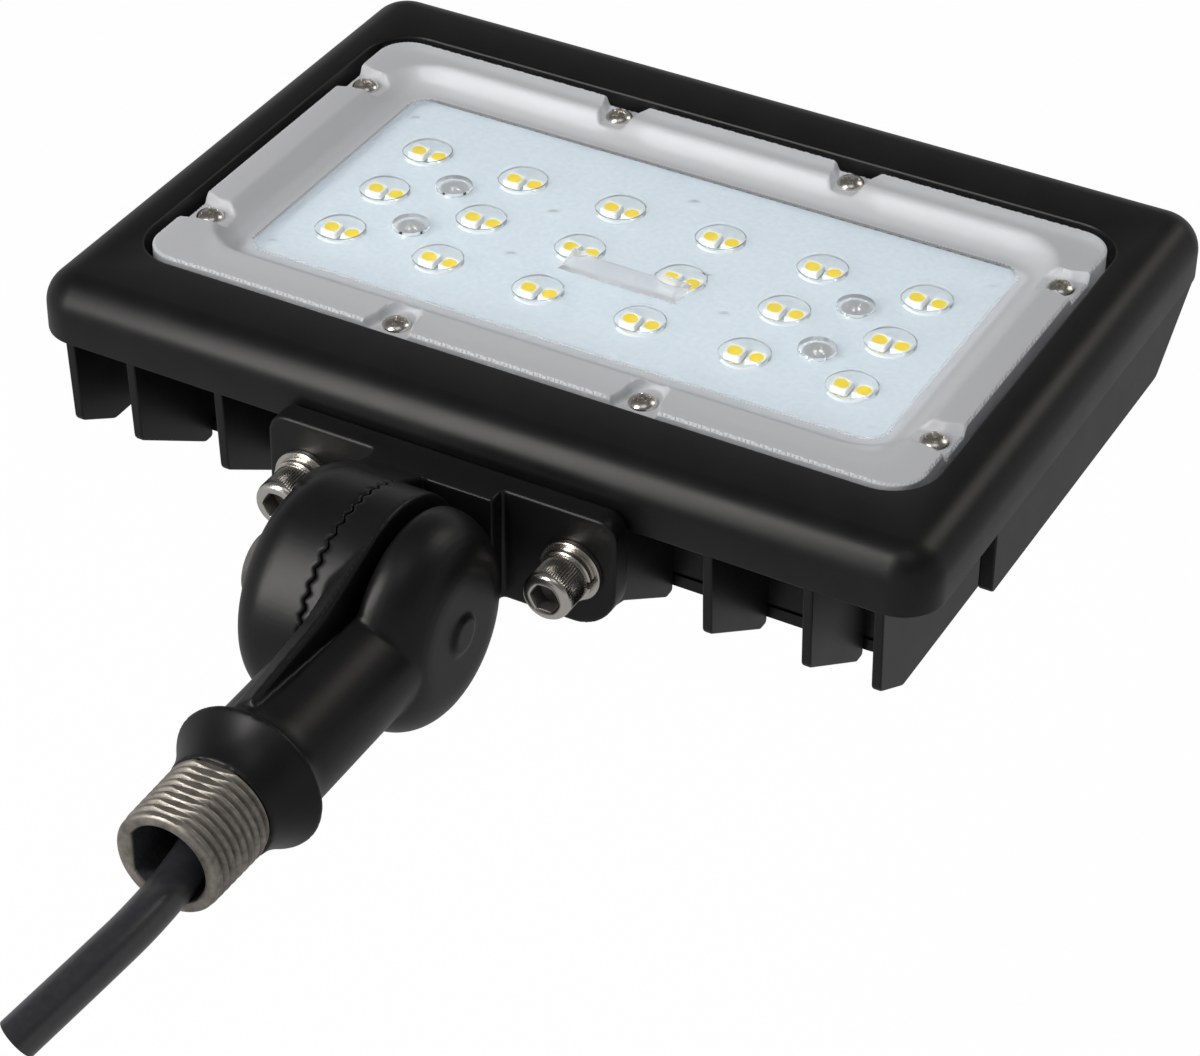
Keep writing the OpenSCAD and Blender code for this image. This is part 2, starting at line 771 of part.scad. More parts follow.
// Three leads from the knuckle to the driver
module supply_leads() {
    start = -hinge_to_head + cavity_r - 4;
    color("#4f6f4a") at_head() translate([duct_x, start, 0]) at_wires()
        rod_y(wire_r, -start - driver_d / 2);
}

// Plate with two small and two large corner radii, drawn in X and Z
module plate_outline(grow = 0) {
    w = plate_w / 2 + grow;
    h = plate_h / 2 + grow;
    translate([-w + plate_low_r, -h]) square([2 * (w - plate_low_r), plate_low_r]);
    translate([-w, -h + plate_low_r]) square([2 * w, 2 * h - plate_low_r - plate_top_r]);
    translate([-w + plate_top_r, h - plate_top_r]) square([2 * (w - plate_top_r), plate_top_r]);
    for (s = [-1, 1]) {
        translate([s * (w - plate_low_r), -h + plate_low_r]) circle(plate_low_r);
        translate([s * (w - plate_top_r), h - plate_top_r]) circle(plate_top_r);
    }
}

module plate_y(y, t, grow = 0) {
    translate([0, y, 0]) rotate([-90, 0, 0]) mirror([0, 1, 0]) linear_extrude(t) plate_outline(grow);
}

// Ring of radial teeth on the X = 0 plane, filled back to x = -back and wider than its disc
module tooth_ring(back) {
    n = 2 * teeth;
    out_r = disc_r + 1.5;
    half = tooth_depth / 2 / disc_r;
    function at(r, i, x) = [x, r * cos(i * 360 / n), r * sin(i * 360 / n)];
    function crest(r, i) = (i % 2 == 0 ? half : -half) * r;
    points = concat(
        [for (i = [0 : n - 1]) at(tooth_in_r, i, crest(tooth_in_r, i))],
        [for (i = [0 : n - 1]) at(out_r, i, crest(out_r, i))],
        [for (i = [0 : n - 1]) at(out_r, i, -back)],
        [for (i = [0 : n - 1]) at(tooth_in_r, i, -back)]);
    faces = [for (k = [0 : 3], i = [0 : n - 1]) let (j = (i + 1) % n, m = (k + 1) % 4)
        [k * n + i, k * n + j, m * n + j, m * n + i]];
    polyhedron(points, faces);
}

// The bracket's half of the knuckle: a thick toothed disc with one rounded edge
module left_disc() {
    arc = [for (a = [0 : 10 : 90])
        [disc_r - left_edge_r * (1 - cos(a)), left_t - left_edge_r * (1 - sin(a))]];
    intersection() {
        union() {
            translate([-mesh_gap, 0, 0]) tooth_ring(tooth_back);
            translate([-left_t - 1, 0, 0]) rod_x(disc_r + 1, left_t + 1 - disc_face - mesh_gap);
        }
        rotate([0, -90, 0]) rotate_extrude()
            polygon(concat([[0, -tooth_depth], [disc_r, -tooth_depth]], arc, [[0, left_t]]));
    }
}

// The stem's half: the same teeth, turned to fit between them, on a plain flange
module toothed_flange() {
    intersection() {
        union() {
            rotate([180 / teeth, 0, 0]) mirror([1, 0, 0]) tooth_ring(tooth_back);
            rod_x_from(disc_face, disc_r + 1, flange_t);
        }
        rod_x_from(-tooth_depth, disc_r, flange_t);
    }
}

// Arm outline between the disc and the block, in Y and Z from the hinge
module arm_outline() {
    reach = disc_r + disc_gap + seat_gap;
    low_h = plate_h / 2;
    upper = [for (t = [0 : 0.125 : 1])
        [reach * t, low_h + (disc_r - arm_drop - low_h) * pow(cos(90 * t), arm_bend)]];
    polygon(concat(upper, [for (i = [len(upper) - 1 : -1 : 0]) [upper[i].x, -upper[i].y]]));
}

module bracket() {
    color("#1f1f1f") difference() {
        union() {
            at_head() {
                plate_y(plate_front, plate_t);
                translate([-block_w / 2, block_front, -plate_h / 2]) cube([block_w, block_t + eps, plate_h]);
            }
            at_hinge() {
                left_disc();
                difference() {
                    plate_x(-block_w / 2, block_w / 2 - disc_face - mesh_gap) arm_outline();
                    translate([-left_t, 0, 0]) rod_x(disc_r - arm_sink, left_t + 1);
                }
            }
        }
        at_hinge() {
            // Wire space round the pivot boss, and the duct to the housing
            difference() {
                translate([-left_t + left_wall, 0, 0]) rod_x(cavity_r, left_t);
                translate([-left_t, 0, 0]) rod_x(pivot_boss_r, 2 * left_t);
            }
            translate([duct_x, 0, 0]) difference() {
                rod_y(duct_r, hinge_to_head);
                translate([-duct_r - 1, 0, 0]) rod_x(pivot_boss_r + 1.5, 2 * duct_r + 2);
            }
            translate([-left_t - 1, 0, 0]) rod_x(pivot_r + fit_gap, left_t + 4);
            // Groove for the seal
            translate([-disc_face - mesh_gap - groove_t, 0, 0]) difference() {
                rod_x(seal_r + seal_t / 2 + seal_air, seal_t);
                translate([-1, 0, 0]) rod_x(seal_r - seal_t / 2 - seal_air, seal_t + 2);
            }
        }
        at_head() at_bolts() translate([0, block_front - 1, 0])
            rod_y(bolt_r + bolt_gap, block_t + plate_t + 2);
    }
}

module bracket_gasket() {
    color("#303030") at_head() difference() {
        plate_y(plate_back, plate_gasket_t, -plate_gasket_in);
        at_bolts() translate([0, plate_back - 1, 0]) rod_y(bolt_r + bolt_gap, 4);
        translate([duct_x, plate_back - 1, 0]) rod_y(duct_r + seat_gap, 4);
    }
}

module bracket_bolts() {
    head_y = plate_front - washer_t - spring_t;
    color("#cfccc6") at_head() at_bolts() {
        translate([0, head_y - 1, 0])
            rod_y(bolt_r, 1 + washer_t + spring_t + plate_t + plate_gasket_t + bolt_reach);
        difference() {
            translate([0, head_y - bolt_head_h, 0]) rod_y(bolt_head_r, bolt_head_h);
            translate([0, head_y - bolt_head_h - 1, 0]) rotate([-90, 0, 0])
                cylinder(r = bolt_socket_af / sqrt(3), h = bolt_socket_depth + 1, $fn = 6);
        }
    }
}

module spring_washers() {
    color("#bdbab4") at_head() at_bolts() translate([0, plate_front - washer_t - spring_t, 0]) difference() {
        rod_y(bolt_head_r + spring_rim, spring_t);
        translate([0, -1, 0]) rod_y(bolt_r + fit_gap, spring_t + 2);
        // Split
        translate([0, spring_t / 2, bolt_head_r]) rotate([0, 0, spring_slant])
            cube([spring_split, 4 * spring_t, 2 * bolt_r], center = true);
    }
}

module flat_washers() {
    color("#c9c6c0") at_head() at_bolts() translate([0, plate_front - washer_t, 0]) difference() {
        rod_y(washer_r, washer_t);
        translate([0, -1, 0]) rod_y(bolt_r + screw_gap, washer_t + 2);
    }
}

module knuckle_seal() {
    color("#2c2c2c") at_hinge() translate([disc_face - seal_air - seal_t / 2, 0, 0]) rotate([0, 90, 0])
        rotate_extrude() translate([seal_r, 0]) circle(seal_t / 2, $fn = 24);
}

module hinge_bolt() {
    color("#cfccc6") at_hinge() translate([-left_t - pivot_washer_t, 0, 0]) {
        rod_x(pivot_r, left_t + pivot_washer_t + pivot_reach);
        rotate([0, -90, 0]) intersection() {
            cylinder(r = pivot_head_af / sqrt(3), h = pivot_head_h, $fn = 6);
            cylinder(r1 = pivot_head_af / 2 + 4, r2 = pivot_head_af / 2 - 0.1, h = pivot_head_h);
        }
    }
}

module hinge_washer() {
    color("#c9c6c0") at_hinge() translate([-left_t - pivot_washer_t, 0, 0]) difference() {
        rod_x(pivot_washer_r, pivot_washer_t);
        translate([-1, 0, 0]) rod_x(pivot_r + screw_gap, pivot_washer_t + 2);
    }
}

// Rib from the serrated disc to the collar: it bends once and its left edge slopes
module rib() {
    reach = stem_l - collar_l + 1;
    near = 8;
    near_h = sqrt(disc_r * disc_r - near * near);
    spans = [[near, near_h, rib_mid_s, rib_mid_h], [rib_mid_s, rib_mid_h, reach, rib_low_h]];
    slices = [[rib_x, 2.2], [flange_t - 0.8, 0], [flange_t, 0.6]];
    for (p = spans) {
        hull() {
            for (c = slices) translate([c.x, 0, 0]) plate_x(-eps, eps) polygon([
                [-p[0], p[1] - c.y], [-p[2], p[3] - c.y], [-p[2], c.y - p[3]], [-p[0], c.y - p[1]]]);
        }
    }
}

// Half of the dome: rounded a little at its slot and fully towards its end face
module stem_dome() {
    lip = [for (a = [0 : 15 : 90]) [dome_half_r - dome_lip_r * (1 - sin(a)), dome_lip_r * (1 - cos(a))]];
    arc = [for (a = [9 : 9 : 90]) [dome_face_r + (dome_half_r - dome_face_r) * cos(a),
        dome_lip_r + (dome_half_t - dome_lip_r) * sin(a)]];
    translate([dome_x, 0, 0]) rotate([0, 90, 0]) {
        rotate_extrude() polygon(concat([[0, 0]], lip, arc, [[0, dome_half_t]]));
        translate([0, 0, dome_half_t - eps]) rotate_extrude() polygon([[0, 0], [button_r, 0],
            [button_r, button_h * 0.7], [button_r - 0.3, button_h], [0, button_h]]);
    }
}

// Ring at the thread's root: a flared front, a rounded rim and a short fillet behind
module collar() {
    foot = thread_r + 0.1;
    rim = collar_l * 0.57;
    nose = [for (t = [0 : 0.125 : 1]) [foot + (collar_r - 0.3 - foot) * pow(t, 1.7), rim * t]];
    fillet = collar_l - rim - 1.6;
    back = [for (a = [0 : 15 : 90]) [stem_r + (collar_r - stem_r - 0.8) * (1 - sin(a)),
        collar_l - fillet * cos(a)]];
    rotate([-90, 0, 0]) rotate_extrude() polygon(concat([[0, 0]], nose,
        [[collar_r, rim + 0.5], [collar_r - 0.2, rim + 1.1]], back, [[0, collar_l]]));
}

// D-shaped bore, drawn across the stem and run along Y; a piece that fits it is drawn in by a gap
module d_bore(y, l, gap = 0) {
    translate([0, y, 0]) intersection() {
        rod_y(bore_r - gap, l);
        translate([gap - bore_flat, -1, -2 * bore_r]) cube([4 * bore_r, l + 2, 4 * bore_r]);
    }
}

module stem_body() {
    translate([0, -thread_l, 0]) rotate([-90, 0, 0]) {
        cylinder(r1 = thread_r - 1, r2 = thread_r, h = 1);
        translate([0, 0, 1]) cylinder(r = thread_r, h = thread_l - 1 + eps);
    }
    collar();
    difference() {
        translate([0, collar_l - 1, 0]) rod_y(stem_r, stem_l - collar_l);
        // Room for the bracket's disc to turn
        at_hinge() translate([-3 * left_t, 0, 0]) rod_x(disc_r + swing_gap, 3 * left_t + flange_t / 2);
        // Slots beside the rib, above and below
        at_hinge() for (s = [0, 1]) mirror([0, 0, s])
            translate([flange_t, collar_l - stem_l, stem_r - slot_depth]) cube([slot_w, stem_l, 10]);
    }
    at_hinge() {
        toothed_flange();
        rib();
        rod_x_from(disc_face, slot_floor_r, dome_x + eps);
        stem_dome();
    }
}

module rod_x_from(x, r, end) {
    translate([x, 0, 0]) rod_x(r, end - x);
}

module stem() {
    color("#202020") difference() {
        stem_body();
        d_bore(-thread_l - 1, stem_l + thread_l - pivot_boss_r);
        at_hinge() {
            difference() {
                translate([-1, 0, 0]) rod_x(cavity_r, dome_end - dome_wall + 1);
                translate([-2, 0, 0]) rod_x(pivot_boss_r, dome_end + 2);
            }
            translate([-1, 0, 0]) rod_x(pivot_r + thread_gap, pivot_reach + 2);
        }
    }
}

module cable_bush() {
    color("#2b2b2b") translate([0, bush_y, 0]) difference() {
        d_bore(0, bush_l, fit_gap / 2);
        translate([0, -1, 0]) rod_y(cable_d / 2 + fit_gap / 2, bush_l + 2);
    }
}

module cable_lead_in() {
    color("#1b1b1b") translate([0, bush_y, 0]) rod_y(cable_d / 2, lead_in_l);
}

// Tube swept along a route: each ring lies square to the run between its neighbours
function unit(v) = v / norm(v);
function heading(p, i) = unit(p[min(i + 1, len(p) - 1)] - p[max(i - 1, 0)]);
function ring(p, i, r, n) = let (t = i == 0 ? [0, -1, 0] : heading(p, i),
    u = unit(cross(t, [0, 0, 1])), v = cross(u, t))
    [for (k = [0 : n - 1]) p[i] + r * cos(k * 360 / n) * u + r * sin(k * 360 / n) * v];

module supply_cable() {
    n = cable_sides;
    last = len(cable_route) - 1;
    points = [for (i = [0 : last]) each ring(cable_route, i, cable_d / 2, n)];
    sides = [for (i = [0 : last - 1], k = [0 : n - 1]) let (m = (k + 1) % n)
        [i * n + k, i * n + m, (i + 1) * n + m, (i + 1) * n + k]];
    ends = [[for (k = [n - 1 : -1 : 0]) k], [for (k = [0 : n - 1]) last * n + k]];
    color("#1b1b1b") polyhedron(points, concat(sides, ends));
}

housing();
driver_cover();
cover_gasket();
cover_screws();
driver();
driver_screws();
thermal_pad();
led_board();
led_packages();
board_screws();
lens_gasket();
lens();
lens_screws();
floor_grommet();
led_leads();
pad_grommet();
supply_leads();
bracket();
bracket_gasket();
bracket_bolts();
spring_washers();
flat_washers();
knuckle_seal();
hinge_bolt();
hinge_washer();
stem();
cable_bush();
cable_lead_in();
supply_cable();
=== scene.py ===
from math import cos, pi, radians, sin, tan

import bmesh
import bpy
import numpy as np
from mathutils import Matrix, Vector
from mathutils.geometry import delaunay_2d_cdt


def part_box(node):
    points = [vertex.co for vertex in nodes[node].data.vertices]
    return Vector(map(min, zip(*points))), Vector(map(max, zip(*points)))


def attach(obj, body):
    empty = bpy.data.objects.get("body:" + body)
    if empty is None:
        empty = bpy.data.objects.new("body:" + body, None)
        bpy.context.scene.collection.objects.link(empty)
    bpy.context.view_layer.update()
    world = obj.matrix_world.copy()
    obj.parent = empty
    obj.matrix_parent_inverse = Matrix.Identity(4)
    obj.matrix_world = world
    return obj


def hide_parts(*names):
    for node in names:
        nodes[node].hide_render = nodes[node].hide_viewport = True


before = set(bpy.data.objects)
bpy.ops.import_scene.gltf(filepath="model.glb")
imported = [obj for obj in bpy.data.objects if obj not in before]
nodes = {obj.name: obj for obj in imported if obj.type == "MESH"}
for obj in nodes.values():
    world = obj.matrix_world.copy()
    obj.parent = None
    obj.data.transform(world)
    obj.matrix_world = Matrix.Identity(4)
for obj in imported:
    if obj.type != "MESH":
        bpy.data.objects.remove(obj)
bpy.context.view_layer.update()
mm = 0.001


def nodeBox(name):
    # a node's low and high corners in millimetres
    low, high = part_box(name)
    return np.array(low) / mm, np.array(high) / mm


# Where things are, in millimetres: the stem's axis is the Y axis, and the lit face looks to +Z
lensLow, lensHigh = nodeBox("lens")
housingLow, housingHigh = nodeBox("housing")
headX, headY = (lensLow[:2] + lensHigh[:2]) / 2
faceZ = housingHigh[2]


# Camera: fitted to the grid of light points and the rim
camera = {
    "place": (0.277102, -0.386028, 0.409539),
    "right": (0.87859787, 0.47743473, 0.01103945),
    "down": (0.29254641, -0.51979877, -0.80263681),
    "forward": (-0.37746839, 0.70842454, -0.5963659),
    "lens": 111.65,
    "sensor": 36.0,
    "clip": (0.01, 20),
}


def makeCamera(c):
    data = bpy.data.cameras.new("camera")
    data.lens = c["lens"]
    data.sensor_width = c["sensor"]
    data.sensor_fit = "HORIZONTAL"
    data.clip_start, data.clip_end = c["clip"]
    obj = bpy.data.objects.new("camera", data)
    bpy.context.scene.collection.objects.link(obj)
    axes = np.array([c["right"], [-v for v in c["down"]], [-v for v in c["forward"]]]).T
    obj.matrix_world = Matrix.Translation(c["place"]) @ Matrix(axes.tolist()).to_4x4()
    bpy.context.scene.camera = obj


makeCamera(camera)
print("camera set")


# Shared makers

def linear(hexCode):
    # sRGB hex to linear: c / 12.92 up to 0.04045, else ((c + 0.055) / 1.055) ^ 2.4
    parts = [int(hexCode[i:i + 2], 16) / 255 for i in (1, 3, 5)]
    return [p / 12.92 if p <= 0.04045 else ((p + 0.055) / 1.055) ** 2.4 for p in parts] + [1]


def add(tree, kind, links=None, values=None, ramp=(), **settings):
    # one node: settings are its properties, values fill its sockets, links are {socket: source socket}, and ramp
    # holds the two (position, hex colour) stops of a colour ramp
    node = tree.nodes.new("ShaderNode" + kind)
    for key, value in settings.items():
        setattr(node, key, value)
    for key, value in (values or {}).items():
        node.inputs[key].default_value = value
    for key, source in (links or {}).items():
        tree.links.new(source, node.inputs[key])
    for i, (position, hexCode) in enumerate(ramp):
        node.color_ramp.elements[i].position = position
        node.color_ramp.elements[i].color = linear(hexCode)
    return node


def newMaterial(name):
    mat = bpy.data.materials.new(name)
    mat.use_nodes = True
    mat.node_tree.nodes.clear()
    return mat, mat.node_tree


def perMetre(sizeInMm):
    # a pattern's scale on Object coordinates, for features of that size
    return 1000 / sizeInMm


def meshObject(name, points, faces, materials, slots=None, sharpAngle=35):
    # points in millimetres, faces as index lists; edges over sharpAngle degrees stay sharp
    mesh = bpy.data.meshes.new(name)
    points = np.asarray(points, float).reshape(-1, 3) * mm
    mesh.from_pydata(points.tolist(), [], faces)
    for m in materials if isinstance(materials, (list, tuple)) else [materials]:
        mesh.materials.append(m)
    if slots is not None:
        mesh.polygons.foreach_set("material_index", np.asarray(slots, np.int32))
    mesh.polygons.foreach_set("use_smooth", np.ones(len(mesh.polygons), bool))
    mesh.set_sharp_from_angle(angle=radians(sharpAngle))
    mesh.update()
    obj = bpy.data.objects.new(name, mesh)
    bpy.context.scene.collection.objects.link(obj)
    return obj


def gridFaces(rows, cols, wrap=True, loop=False):
    # quads of a rows x cols grid of points; wrap closes each row into a ring, loop joins the last row to the first
    r, c = np.meshgrid(np.arange(rows if loop else rows - 1), np.arange(cols if wrap else cols - 1),
                       indexing="ij")
    n, b = (c + 1) % cols, (r + 1) % rows
    return np.stack([r * cols + c, r * cols + n, b * cols + n, b * cols + c], -1).reshape(-1, 4).tolist()


def endCaps(rows, cols):
    # the first and the last ring of such a grid, each as one face
    return [list(range(cols)), list(range((rows - 1) * cols, rows * cols))]


def joinParts(parts):
    # puts (points, faces) pairs into one pair
    points, faces, start = [], [], 0
    for p, f in parts:
        p = np.asarray(p, float).reshape(-1, 3)
        points.append(p)
        faces += [[i + start for i in face] for face in f]
        start += len(p)
    return np.concatenate(points), faces


def faceOutwards(obj):
    bm = bmesh.new()
    bm.from_mesh(obj.data)
    bmesh.ops.recalc_face_normals(bm, faces=bm.faces)
    bm.to_mesh(obj.data)
    bm.free()


def softenEdges(obj, width, segments=2, angle=30):
    m = obj.modifiers.new("softEdges", "BEVEL")
    m.width, m.segments, m.limit_method, m.angle_limit = width * mm, segments, "ANGLE", radians(angle)
    m.use_clamp_overlap = False
    m.harden_normals = True


def place(obj, body, slot, *stoodFor):
    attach(obj, body)
    if stoodFor:
        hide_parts(*stoodFor)
    return obj


def ringOutline(halfX, halfY, radius, perCorner=10):
    # rounded rectangle: each corner is an arc of perCorner steps round its own centre
    turns = np.radians(np.concatenate([np.linspace(90 * k, 90 * k + 90, perCorner + 1) for k in range(4)]))
    signX = np.repeat([1, -1, -1, 1], perCorner + 1)
    signY = np.repeat([1, 1, -1, -1], perCorner + 1)
    return np.stack([signX * (halfX - radius) + radius * np.cos(turns),
                     signY * (halfY - radius) + radius * np.sin(turns)], -1)


def loft(levels, loop=False, perCorner=10):
    # skin through rounded rectangles given as (halfX, halfY, radius, z): a closed tube wall, or a capped solid
    rings = [np.column_stack([ringOutline(*level[:3], perCorner), np.full(4 * (perCorner + 1), level[3])])
             for level in levels]
    count = len(rings[0])
    faces = gridFaces(len(rings), count, loop=loop)
    if not loop:
        faces += endCaps(len(rings), count)
    return np.concatenate(rings), faces


def roundedOutline(corners, steps=6):
    # closed outline with an arc of the given radius at each (across, up, radius) corner
    out, n = [], len(corners)
    for i, (x, y, rad) in enumerate(corners):
        q = np.array([x, y], float)
        if rad <= 0:
            out.append(q)
            continue
        a = np.array(corners[i - 1][:2], float) - q
        b = np.array(corners[(i + 1) % n][:2], float) - q
        a, b = a / np.linalg.norm(a), b / np.linalg.norm(b)
        half = np.arccos(np.clip(a @ b, -1, 1)) / 2
        centre = q + (a + b) / (2 * cos(half)) * rad / sin(half)
        start, end = q + a * rad / tan(half) - centre, q + b * rad / tan(half) - centre
        for t in np.linspace(0, 1, steps + 1):
            m = start * (1 - t) + end * t
            out.append(centre + m / np.linalg.norm(m) * rad)
    return np.array(out)


def plateX(outline, x, thickness):
    # an outline in Y and Z, carried along X between two flat sides
    n = len(outline)
    near = np.column_stack([np.full(n, x - thickness / 2), outline])
    return np.concatenate([near, near + [thickness, 0, 0]]), gridFaces(2, n) + endCaps(2, n)


def turned(profile, steps, radiusOf=None):
    # a profile of (radius, height) turned round Z; radiusOf(row, radius, angle) may shape each ring
    profile = np.asarray(profile, float)
    angle = np.arange(steps) * 2 * pi / steps
    radius = np.repeat(profile[:, :1], steps, axis=1)
    if radiusOf is not None:
        radius = radiusOf(np.arange(len(profile))[:, None], radius, angle[None, :])
    height = np.repeat(profile[:, 1:2], steps, axis=1)
    return np.stack([radius * np.cos(angle), radius * np.sin(angle), height], -1)


def standTo(points, direction, origin):
    # turns a shape made round Z so that its Z points along the given row direction, from the origin point
    toPlace = Vector((0, 0, 1)).rotation_difference(Vector(direction)).to_matrix()
    return np.asarray(points, float).reshape(-1, 3) @ np.array(toPlace).T + np.asarray(origin, float)


def easeStep(t):
    # 0 to 1 with level ends: 3t^2 - 2t^3
    t = np.clip(t, 0, 1)
    return t * t * (3 - 2 * t)


# Materials

def powderCoat():
    # satin black powder coat over die-cast aluminium, IOR 1.5: a fine pebbled skin that breaks up soft highlights;
    # its pebble of 0.45 mm is drawn coarser than the real one, so that it shows
    mat, tree = newMaterial("satinPowderCoat")
    where = add(tree, "TexCoord").outputs["Object"]
    pebble = add(tree, "TexNoise", {"Vector": where}, {"Scale": perMetre(0.45), "Detail": 3, "Roughness": 0.55})
    flow = add(tree, "TexNoise", {"Vector": where}, {"Scale": perMetre(9), "Detail": 2})
    tone = add(tree, "ValToRGB", {"Fac": flow.outputs["Fac"]}, ramp=((0.3, "#111112"), (0.7, "#161616")))
    rough = add(tree, "MapRange", {"Value": flow.outputs["Fac"]}, {"To Min": 0.34, "To Max": 0.41})
    bump = add(tree, "Bump", {"Height": pebble.outputs["Fac"]}, {"Strength": 0.16, "Distance": 0.06 * mm})
    skin = add(tree, "BsdfPrincipled", {"Base Color": tone.outputs["Color"], "Roughness": rough.outputs["Result"],
                                        "Normal": bump.outputs["Normal"]}, {"IOR": 1.5, "Specular IOR Level": 0.3})
    add(tree, "OutputMaterial", {"Surface": skin.outputs["BSDF"]})
    return mat


def bareCasting():
    # bare die-cast aluminium of the thread: dull warm grey metal, blotchy from the mould and a little oxidised
    mat, tree = newMaterial("bareCastMetal")
    where = add(tree, "TexCoord").outputs["Object"]
    blotch = add(tree, "TexNoise", {"Vector": where}, {"Scale": perMetre(2.5), "Detail": 6, "Roughness": 0.65})
    grain = add(tree, "TexNoise", {"Vector": where}, {"Scale": perMetre(0.3), "Detail": 2})
    tone = add(tree, "ValToRGB", {"Fac": blotch.outputs["Fac"]}, ramp=((0.32, "#7a756f"), (0.68, "#aaa49b")))
    rough = add(tree, "MapRange", {"Value": blotch.outputs["Fac"]}, {"To Min": 0.52, "To Max": 0.36})
    bump = add(tree, "Bump", {"Height": grain.outputs["Fac"]}, {"Strength": 0.3, "Distance": 0.08 * mm})
    metal = add(tree, "BsdfPrincipled", {"Base Color": tone.outputs["Color"], "Roughness": rough.outputs["Result"],
                                         "Normal": bump.outputs["Normal"]}, {"Metallic": 0.85})
    add(tree, "OutputMaterial", {"Surface": metal.outputs["BSDF"]})
    return mat


def stainless():
    # bright stainless steel: turned and tumbled, with faint fine scratches
    mat, tree = newMaterial("brightStainless")
    where = add(tree, "TexCoord").outputs["Object"]
    scratch = add(tree, "TexNoise", {"Vector": where}, {"Scale": perMetre(0.35), "Detail": 4, "Roughness": 0.7})
    rough = add(tree, "MapRange", {"Value": scratch.outputs["Fac"]}, {"To Min": 0.16, "To Max": 0.34})
    bump = add(tree, "Bump", {"Height": scratch.outputs["Fac"]}, {"Strength": 0.12, "Distance": 0.04 * mm})
    metal = add(tree, "BsdfPrincipled", {"Roughness": rough.outputs["Result"], "Normal": bump.outputs["Normal"]},
                {"Base Color": linear("#d6d2cb"), "Metallic": 1})
    add(tree, "OutputMaterial", {"Surface": metal.outputs["BSDF"]})
    return mat


def speckled(name, low, high, sizeInMm, roughness, strength=0.2, specular=0.5):
    # moulded or sheet material: two close tones blended by fine noise, with a matching bump
    mat, tree = newMaterial(name)
    where = add(tree, "TexCoord").outputs["Object"]
    noise = add(tree, "TexNoise", {"Vector": where}, {"Scale": perMetre(sizeInMm), "Detail": 4, "Roughness": 0.6})
    tone = add(tree, "ValToRGB", {"Fac": noise.outputs["Fac"]}, ramp=((0.35, low), (0.65, high)))
    bump = add(tree, "Bump", {"Height": noise.outputs["Fac"]}, {"Strength": strength, "Distance": 0.05 * mm})
    skin = add(tree, "BsdfPrincipled", {"Base Color": tone.outputs["Color"], "Normal": bump.outputs["Normal"]},
               {"Roughness": roughness, "Specular IOR Level": specular})
    add(tree, "OutputMaterial", {"Surface": skin.outputs["BSDF"]})
    return mat


def polycarbonate(name, roughness, tint, ripple, milk=0, ior=1.58, gloss=0.5):
    # moulded polycarbonate, IOR 1.58: clear, or frosted where milk, a diffuse part, scatters the light inside it;
    # the window and its pockets bend light less in the photo, so they are matched with IOR 1.3; the lamps' rays go
    # straight through, so that the board is lit
    mat, tree = newMaterial(name)
    where = add(tree, "TexCoord").outputs["Object"]
    wave = add(tree, "TexNoise", {"Vector": where}, {"Scale": perMetre(6), "Detail": 2})
    bump = add(tree, "Bump", {"Height": wave.outputs["Fac"]}, {"Strength": ripple, "Distance": 0.3 * mm})
    moulded = add(tree, "BsdfPrincipled", {"Normal": bump.outputs["Normal"]},
                  {"Base Color": linear(tint), "Roughness": roughness, "IOR": ior, "Transmission Weight": 1 - milk,
                   "Specular IOR Level": gloss})
    passing = add(tree, "BsdfTransparent", values={"Color": linear(tint)})
    ray = add(tree, "LightPath")
    mix = add(tree, "MixShader", {0: ray.outputs["Is Shadow Ray"], 1: moulded.outputs["BSDF"],
                                  2: passing.outputs["BSDF"]})
    add(tree, "OutputMaterial", {"Surface": mix.outputs["Shader"]})
    return mat


coat = powderCoat()
bareMetal = bareCasting()
steel = stainless()
# the lens: clear in the window, with sharp glints; frosted like an etched mould round it; hazy where one passes into
# the other and in the hollows; milky on the pockets' walls, which show as pale rings
clearLens = polycarbonate("clearPolycarbonate", 0.02, "#f6fafd", 0.05, ior=1.3)
frostedLens = polycarbonate("frostedPolycarbonate", 0.42, "#e2e4e8", 0.1, milk=0.72, gloss=0.3)
hazyLens = polycarbonate("hazyPolycarbonate", 0.25, "#eef0f3", 0.15, milk=0.35, ior=1.3)
milkyLens = polycarbonate("milkyPolycarbonate", 0.3, "#f2f4f6", 0.1, milk=0.5, ior=1.3)
solderMask = speckled("whiteSolderMask", "#dadfe3", "#e3e7ea", 1.2, 0.42, 0.08)  # printed: even, half matt
ledBody = speckled("ledBodyCeramic", "#f0eee6", "#f6f4ee", 0.4, 0.45, 0.1)  # fired white ceramic
phosphor = speckled("yellowPhosphor", "#ffd638", "#ffe04c", 0.25, 0.5, 0.25, 0.3)  # grains in silicone: matt
# this dark steel is black oxide on the hinge bolt, and also paints the shade into the cap screws' sockets
blackOxideAndSocketShade = speckled("blackOxideSteelAndSocketShade", "#4a4845", "#5e5b57", 0.5, 0.32, 0.2, 1.0)  # oiled: dark with a sheen
darkGreyBore = speckled("darkGreyBoreSkin", "#3c3d41", "#4a4b4f", 0.8, 0.5, 0.3, 0.3)  # dark grey inside the bore past its bare mouth: rough and dull
solder = speckled("dullSolder", "#3c3c3d", "#6a6a69", 0.3, 0.4, 0.3)  # reflowed: grey and uneven
rubber = speckled("siliconeRubber", "#1c1c1c", "#242424", 0.5, 0.6, 0.3, 0.3)  # moulded: matt black
greyRubber = speckled("greySilicone", "#a3a5a8", "#b1b3b6", 0.8, 0.5, 0.2, 0.4)  # foamed: soft grey
thermalSilicone = speckled("thermalSilicone", "#868f96", "#97a0a6", 1.0, 0.7, 0.3, 0.3)  # rolled: matt
driverCase = speckled("satinAluminiumCase", "#b9bab9", "#c9c9c7", 0.6, 0.4, 0.15, 0.5)  # pressed: satin
redWire = speckled("wireInsulation", "#8d2a22", "#9c3228", 0.5, 0.4, 0.1)  # extruded: smooth
